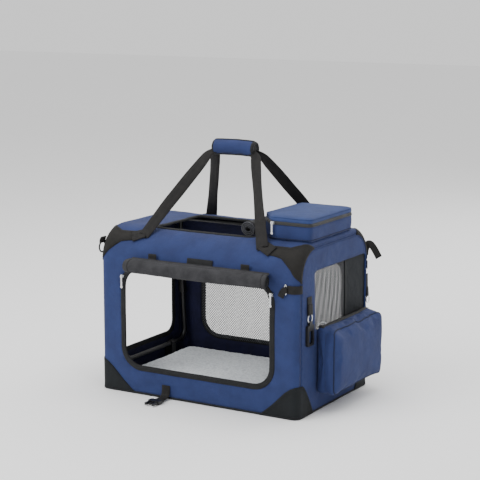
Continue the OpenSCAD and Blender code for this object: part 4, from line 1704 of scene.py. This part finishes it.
@dataclass
class TopPocket:
    """Zipped pocket on the roof, with a padded lid."""

    count: int = 150
    left: float = 0.141
    chamfer: tuple[float, float] = (0.186, -0.082)
    walls: tuple[Point2, ...] = ((-2.5, -2.5), (1.0, -0.6), (6.0, 0.6), (14.0, 1.6), (24.0, 2.0),
                                 (34.0, 1.4), (41.0, 0.4), (43.5, -0.4), (44.0, -1.6),
                                 (42.0, -2.6), (30.0, -3.0), (6.0, -3.5))
    lid: tuple[Point2, ...] = ((44.6, -1.5), (45.4, 0.8), (48.0, 1.8), (52.0, 1.4), (55.0, -0.4),
                               (57.4, -4.0), (59.4, -10.0), (61.0, -20.0), (62.4, -36.0),
                               (63.2, -56.0))

    def ring(self, out: float) -> list[Point2]:
        """Plan of the pocket, moved outward by a distance."""
        low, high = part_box("top_pocket")
        x, y = self.chamfer
        plan = [(self.left, y), (x, low.y), (high.x, low.y), (high.x, high.y), (self.left, high.y)]
        edge = even(offset_ring(softened(plan, 0.014), max(out, -0.01)), self.count)
        if out > -0.01:
            return edge
        middle = ((self.left + high.x) / 2 + 0.004, (low.y + high.y) / 2 + 0.004)
        share = 1 + (out + 0.01) / ((high.x - self.left) / 2 - 0.01)
        return [(middle[0] + (a - middle[0]) * share, middle[1] + (b - middle[1]) * share)
                for a, b in edge]

    def skin(self, name: str, stations: Sequence[Point2], lift: float, finishes: Sequence[Finish],
             body: str) -> bpy.types.Object:
        """Lofts one part of the pocket.

        Args:
            name: name of the piece.
            stations: height above the roof and distance outward, in millimetres.
            lift: how much of the ripple shows.
            finishes: outer and inner finish.
            body: CAD body.

        Returns:
            The piece.
        """
        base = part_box("top_pocket")[0].z
        rings = []
        for high, out in stations:
            ring = []
            for x, y in self.ring(out * MM):
                p = Vector((x, y, base + high * MM))
                push = ripple(p, 48, 2.6) * 1.5 + ripple(p, 20, 5.5) * 0.5
                middle = Vector((0.22, -0.01, p.z))
                p += (p - middle).normalized() * push * lift * MM
                p.z += 0.6 * MM * lift * ripple(p, 55, 6.2)
                ring.append(p)
            rings.append(ring)
        return loft(name, rings, finishes, body)

    def build(self) -> None:
        """Builds the pocket, lid, zip and seams."""
        pocket = self.skin("roof_pocket", self.walls, 1.0, [BLUE, LINING], "top")
        inner = self.count * 8
        for face in pocket.data.polygons:
            if face.index >= inner and face.center.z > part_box("top_pocket")[0].z:
                face.material_index = 1
        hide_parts("top_pocket")
        # The lid and its seam take the lighter blue: painted top light on the upward-facing lid.
        lid = self.skin("roof_pocket_lid", self.lid, 0.8, [BLUE_TOP_LIT], "pocket_lid")
        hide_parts("top_pocket_lid")
        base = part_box("top_pocket")[0].z
        ring = self.ring(0.001)
        for name, high, width, thick, finish, slot in (
                ("roof_pocket_zip", 41.5, 0.010, 0.0015, ZIP, "black_webbing"),
                ("roof_pocket_coil", 41.5, 0.0045, 0.0026, ZIP, "black_plastic")):
            near = [Vector((x, y, base + high * MM)) for x, y in ring]
            points, ups = laid(pocket, near, 0.0008)
            band(name, points, ups, width, thick, finish, "top", closed=True)
        for name, high in (("roof_pocket_base_seam", 2.0),):
            near = [Vector((x, y, base + high * MM)) for x, y in ring]
            points, ups = laid(pocket, near, 0.0006)
            sweep(name, points, ups, round_section(1.4 * MM, 8), SEAM, "top", closed=True)
        near = [Vector((x, y, base + 55.0 * MM)) for x, y in self.ring(-0.0004)]
        points, ups = laid(lid, near, 0.0005)
        sweep("roof_pocket_lid_seam", points, ups, round_section(1.3 * MM, 8), BLUE_TOP_LIT,
                      "pocket_lid", closed=True)


@dataclass
class Handles:
    """Two webbing loops, the padded wrap that joins them, and the sewn feet."""

    shell: Shell
    foot_x: float = 0.178
    foot_y: float = 0.1668
    foot_z: float = 0.428
    grip_y: float = 0.008
    grip_z: float = 0.645
    width: float = 0.033
    thick: float = 0.0022
    wrap_half: float = 0.064
    wrap_r: float = 0.0205

    def strap(self, name: str, side: int, body: str, node: str) -> None:
        """Builds one loop.

        Args:
            name: name of the piece.
            side: -1 for the front, 1 for the back.
            body: CAD body of the loop.
            node: CAD node that it stands for.
        """
        high = math.hypot(self.foot_y - self.grip_y, self.grip_z - self.foot_z)
        rise = Vector((0, -side * (self.foot_y - self.grip_y), self.grip_z - self.foot_z)) / high
        face = Vector((0, side * abs(rise.z), abs(rise.y)))
        half = [(179.5, -3), (178, 0), (161, 40), (140, 90), (119, 140), (99, 188), (84, 224),
                (75, 246), (66, 258), (51, 265.5), (25, 266.5)]
        pinch = [1.0, 1.0, 1.0, 1.0, 1.0, 1.0, 0.98, 0.9, 0.65, 0.45, 0.45]
        flat = [*half, (0, 267), *[(-x, h) for x, h in reversed(half)]]
        squeeze = [*pinch, 0.45, *reversed(pinch)]
        count = 6
        line = curve([(x, 0, h) for x, h in flat], count)
        foot = Vector((0, side * self.foot_y, self.foot_z))
        path, widths = [], []
        for k, p in enumerate(line):
            bow = math.sin(math.pi * min(max(p.z / high, 0.0), 1.0))
            wave = ripple(Vector((p.x, 0, p.z)), 70, 3.0 + side)
            path.append(foot + Vector((p.x, 0, 0)) + rise * p.z + face * bow * (1 + wave) * 2 * MM)
            at = k / count
            j = min(int(at), len(squeeze) - 2)
            widths.append(squeeze[j] + (squeeze[j + 1] - squeeze[j]) * (at - j))
        twist = []
        for k, p in enumerate(path):
            turn = 0.16 * ripple(p, 120, 5.0 + side)
            along = (path[min(k + 1, len(path) - 1)] - path[max(k - 1, 0)]).normalized()
            share = (p.z - foot.z) / (self.grip_z - self.foot_z)
            bow = math.sin(math.pi * min(max(share, 0.0), 1.0))
            inward = Vector((-math.copysign(0.42 * bow, p.x), 0, 0))
            twist.append(Matrix.Rotation(turn, 3, along) @ (face + inward).normalized())
        piece = band(name, path, twist, self.width, self.thick, WEB, body, widths=widths)
        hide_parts(node)

    def feet(self) -> None:
        """Builds the sewn ends of the straps, each with two rows of stitches across it."""
        shell = self.shell
        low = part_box("strap_anchors")[0]
        first = True
        for side, tag in ((1, "right"), (-1, "left")):
            for back, face in ((False, "front"), (True, "back")):
                ts = np.linspace(shell.at_height(low.z + 0.004), shell.at_height(self.foot_z), 9)
                ts = [shell.length - t if back else t for t in ts]
                us = [side * (self.foot_x + 0.034 * (1 - k / 8)) for k in range(9)]
                piece = band(f"{face}_{tag}_strap_foot",
                             [shell.point(u, t, 0.0034) for u, t in zip(us, ts)],
                             [shell.normal(u, t) for u, t in zip(us, ts)], self.width, 0.0022, WEB,
                             "handle_seams")
                if first:
                    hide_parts("strap_anchors")
                first = False
                for k, (u, t) in enumerate(((us[1], ts[1]), (us[-2], ts[-2]))):
                    row = [u + w * MM for w in range(-13, 14)]
                    line = stitches(f"{face}_{tag}_foot_stitches_{k + 1}",
                                    [shell.point(x, t, 0.0047) for x in row],
                                    [shell.normal(x, t) for x in row], "handle_seams")

    def wrap(self) -> None:
        """Builds the padded wrap with its bound edges."""
        low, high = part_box("handle_wrap")
        middle = (low + high) / 2
        rings = []
        stations = [(-0.940, 0.55), (-0.985, 0.72), (-1.0, 0.86), (-0.985, 0.95), (-0.95, 0.985)]
        stations += [(f, 1.0) for f in np.linspace(-0.9, 0.9, 25)]
        stations += [(-f, r) for f, r in reversed(stations[:5])]
        for f, r in stations:
            x = f * self.wrap_half
            arch = 2.4 * MM * math.cos(math.pi * f / 2) - 1.0 * MM
            ring = []
            for k in range(36):
                a = 2 * math.pi * k / 36
                rad = self.wrap_r * r
                fold = 1 + 0.035 * ripple(Vector((x, math.cos(a) * 0.02, math.sin(a) * 0.02)),
                                          26, 1.4)
                ring.append(middle + Vector((x, rad * math.cos(a) * 0.98 * fold,
                                             arch + rad * math.sin(a) * fold)))
            rings.append(ring)
        end = self.wrap_half * 0.9

        def mark(place: Vector, normal: Vector) -> int:
            """Black tape round the ends and blue cloth between them."""
            return 1 if abs(place.x) > end else 0

        wrap = loft("grip_wrap", rings, [BLUE, BINDING], "front_handle", mark)
        puff(wrap, 1.5, voxel_mm=3.0, pressure=3.0)
        if not wrap.data.materials:
            for one in (BLUE, BINDING):
                wrap.data.materials.append(one.make())
        repaint(wrap, mark)
        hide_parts("handle_wrap")
        for name, a in (("grip_upper_tape", 84.0), ("grip_lower_tape", -64.0)):
            turn = math.radians(a)
            near = [middle + Vector((x, -0.022 * math.cos(turn), 0.022 * math.sin(turn)))
                    for x in np.linspace(-0.060, 0.060, 31)]
            points, ups = laid(wrap, near, 0.0004)
            band(name, points, ups, 0.0075, 0.0018, BINDING, "front_handle")
            row, normals = laid(wrap, [p + Vector((0, 0, -0.006 if a > 0 else 0.006))
                                       for p in near], 0.0002)
            stitches(name + "_stitches", row, normals, "front_handle")

    def build(self) -> None:
        """Builds the loops, feet and wrap."""
        self.strap("front_loop", -1, "front_handle", "front_strap")
        self.strap("back_loop", 1, "back_handle", "back_strap")
        self.feet()
        self.wrap()


@dataclass
class Fittings:
    """Webbing tabs, adjusters and the CAD parts that keep their shape."""

    shell: Shell
    bar_u: float = 0.266
    bar_half: tuple[float, float] = (0.0032, 0.0125)
    strap_from: float = 0.270
    strap_wide: float = 0.021

    def adjuster(self, back: bool) -> None:
        """Builds the short strap, slide bar and tail at one right-hand corner."""
        shell = self.shell
        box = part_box("strap_adjusters")
        tag = "back" if back else "front"
        t = (box[0].z + box[1].z) / 2
        place = shell.length - t if back else t
        us = np.linspace(self.strap_from, shell.wide - 0.001, 14)
        strip = band(f"{tag}_adjuster_strap", [shell.point(u, place, 0.0024) for u in us],
                     [shell.normal(u, place) for u in us], self.strap_wide, 0.0018, WEB, "base")
        soft(strip)
        if not back:
            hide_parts("strap_adjusters")
        wide, high = self.bar_half
        bar = [(self.bar_u + wide * math.cos(a), place + high * math.sin(a))
               for a in np.linspace(0, 2 * math.pi, 24, endpoint=False)]
        ring = sweep(f"{tag}_adjuster_bar", [shell.point(u, w, 0.0042) for u, w in bar],
                     [shell.normal(u, w) for u, w in bar], round_section(1.3 * MM, 8), NICKEL,
                     "base", closed=True)
        soft(ring)
        if back:
            path = curve([(286, 203.5, 356), (288, 204.5, 374), (292, 207, 385), (299, 211, 386),
                          (308, 215, 374), (316, 219, 358), (320, 221, 349)], 5)
            ups = [Vector((0.62, -0.7, 0.35))] * len(path)
            tail = band("back_adjuster_tail", path, ups, 0.019, 0.0018, WEB, "base")
        else:
            spots = [(0.271, 0.0), (0.265, -0.001), (0.260, -0.005), (0.2555, -0.012),
                     (0.2525, -0.020)]
            path = [shell.point(u, place + d, 0.0052) for u, d in spots]
            ups = [shell.normal(u, place) for u, _ in spots]
            tail = band("front_adjuster_tail", path, ups, 0.017, 0.0016, WEB, "base")
        soft(tail)

    def tabs(self) -> None:
        """Builds the three webbing tabs that hold the rings."""
        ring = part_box("left_ring")
        mid = (ring[0] + ring[1]) / 2
        path = curve([(-299, mid.y / MM, 412), (-302.3, mid.y / MM, 406), (-303, mid.y / MM, 400),
                      (-306, mid.y / MM, 396), (-306.5, mid.y / MM, 401),
                      (-304.4, mid.y / MM, 408), (-301, mid.y / MM, 413)], 4)
        tab = band("left_tab", path, [Vector((-1, 0, 0.2))] * len(path), 0.022, 0.0017, WEB,
                   "wall_fittings")
        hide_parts("side_straps")
        for name, y, top, low, width in (("hook_tab", -145.5, 308, 262, 0.024),
                                         ("rear_tab", 188.0, 309, 246, 0.012)):
            wall = self.shell.end_point(y * MM, top * MM, 0.0, True).x / MM if y < 170 else 299.4
            path = curve([(wall + 1.0, y, top), (wall + 1.8, y, (top + low) / 2),
                          (wall + 2.4, y, low + 4), (wall + 3.6, y, low), (wall + 4.8, y, low + 4),
                          (wall + 4.2, y, low + 16), (wall + 3.4, y, low + 26)], 5)
            ups = [Vector((0, 1, 0)).cross(path[max(k - 1, 0)] - path[min(k + 1, len(path) - 1)])
                   for k in range(len(path))]
            piece = band(name, path, ups, width, 0.0016, WEB, "wall_fittings")

    def sill(self) -> None:
        """Builds the webbing under the door sill."""
        low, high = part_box("bottom_strap")
        x = (low.x + high.x) / 2 / MM
        path = curve([(x, -203.0, 36), (x, -203.6, 24), (x, -206.0, 13), (x, -213, 6.6),
                      (x, -224, 5.0), (x, -236, 5.2), (x, -243, 6.0)], 5)
        ups = [Vector((1, 0, 0)).cross(path[max(k - 1, 0)] - path[min(k + 1, len(path) - 1)])
               for k in range(len(path))]
        strip = band("sill_strap", path, ups, 0.025, 0.0020, WEB, "base")
        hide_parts("bottom_strap")

    def build(self) -> None:
        """Builds the webbing and gives the CAD parts their finishes."""
        self.adjuster(False)
        self.adjuster(True)
        self.tabs()
        self.sill()
        finishes = {
            TUBE: ("base_tube_frame", "left_lower_hoop", "left_upper_hoop", "right_lower_hoop",
                   "right_upper_hoop", "top_rails"),
            NYLON: ("hoop_brackets", "left_knuckles", "left_upper_knuckles", "right_knuckles",
                    "right_upper_knuckles", "top_clips", "hook_buckle", "bottom_buckle",
                    "left_ring"),
            NICKEL: ("left_pins", "right_pins", "hook_ring", "rear_ring", "top_pocket_slider",
                     "top_pocket_pull", "side_pocket_slider", "side_pocket_pull",
                     "left_door_slider", "right_door_slider"),
            BOARD: ("floor_board",),
        }
        for finish, nodes in finishes.items():
            for node in nodes:
                wear(node, finish)


# ---------------------------------------------------------------- whole carrier


def make_rolls() -> list[Roll]:
    """The front door, the left door and the roof flap, each rolled up."""
    front, left, roof = (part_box(n) for n in ("front_door_roll", "left_door_roll", "top_door_roll"))
    x, y, z = Vector((1, 0, 0)), Vector((0, 1, 0)), Vector((0, 0, 1))
    mid = [(low + high) / 2 for low, high in (front, left, roof)]
    return [
        Roll("front_door_sheet", Vector((0, mid[0].y, mid[0].z)), x, -y, z, front[0].x + 0.012,
             front[1].x + 0.012, 0.0188, (-0.1305, 0.1495),
             ("front_door_roll", "front_roll_ties"), "base", 1.0),
        Roll("left_door_sheet", Vector((mid[1].x, 0, mid[1].z)), y, -x, z, left[0].y, left[1].y,
             0.021, (-0.0675, 0.1025), ("left_door_roll", "left_roll_ties"), "base", 4.0),
        Roll("roof_flap_sheet", Vector((mid[2].x, 0, mid[2].z + 0.001)), y, z, x, roof[0].y,
             roof[1].y, 0.0215, (-0.049, 0.056), ("top_door_roll", "top_roll_ties"), "top", 8.0,
             EDGING, tail=((-0.3, 1.0), (-0.48, 1.02), (-0.58, 1.1), (-0.6, 1.2))),
    ]


def main() -> None:
    """Builds the studio and every sub-assembly in order."""
    Studio().build()
    shell = Shell()
    parts: list[tuple[str, object]] = [
        ("shell", shell), ("bindings", Bindings(shell)), ("windows", Windows(shell)),
        *[(roll.name, roll) for roll in make_rolls()],
        ("patches", Patches(shell)), ("mat", Mat()), ("side pocket", SidePocket()),
        ("top pocket", TopPocket()), ("handles", Handles(shell)), ("fittings", Fittings(shell)),
    ]
    for name, part in parts:
        part.build()
        LOG.info("%s is built", name)


if __name__ == "__main__":
    logging.basicConfig(level=logging.INFO, format="%(message)s")
    main()
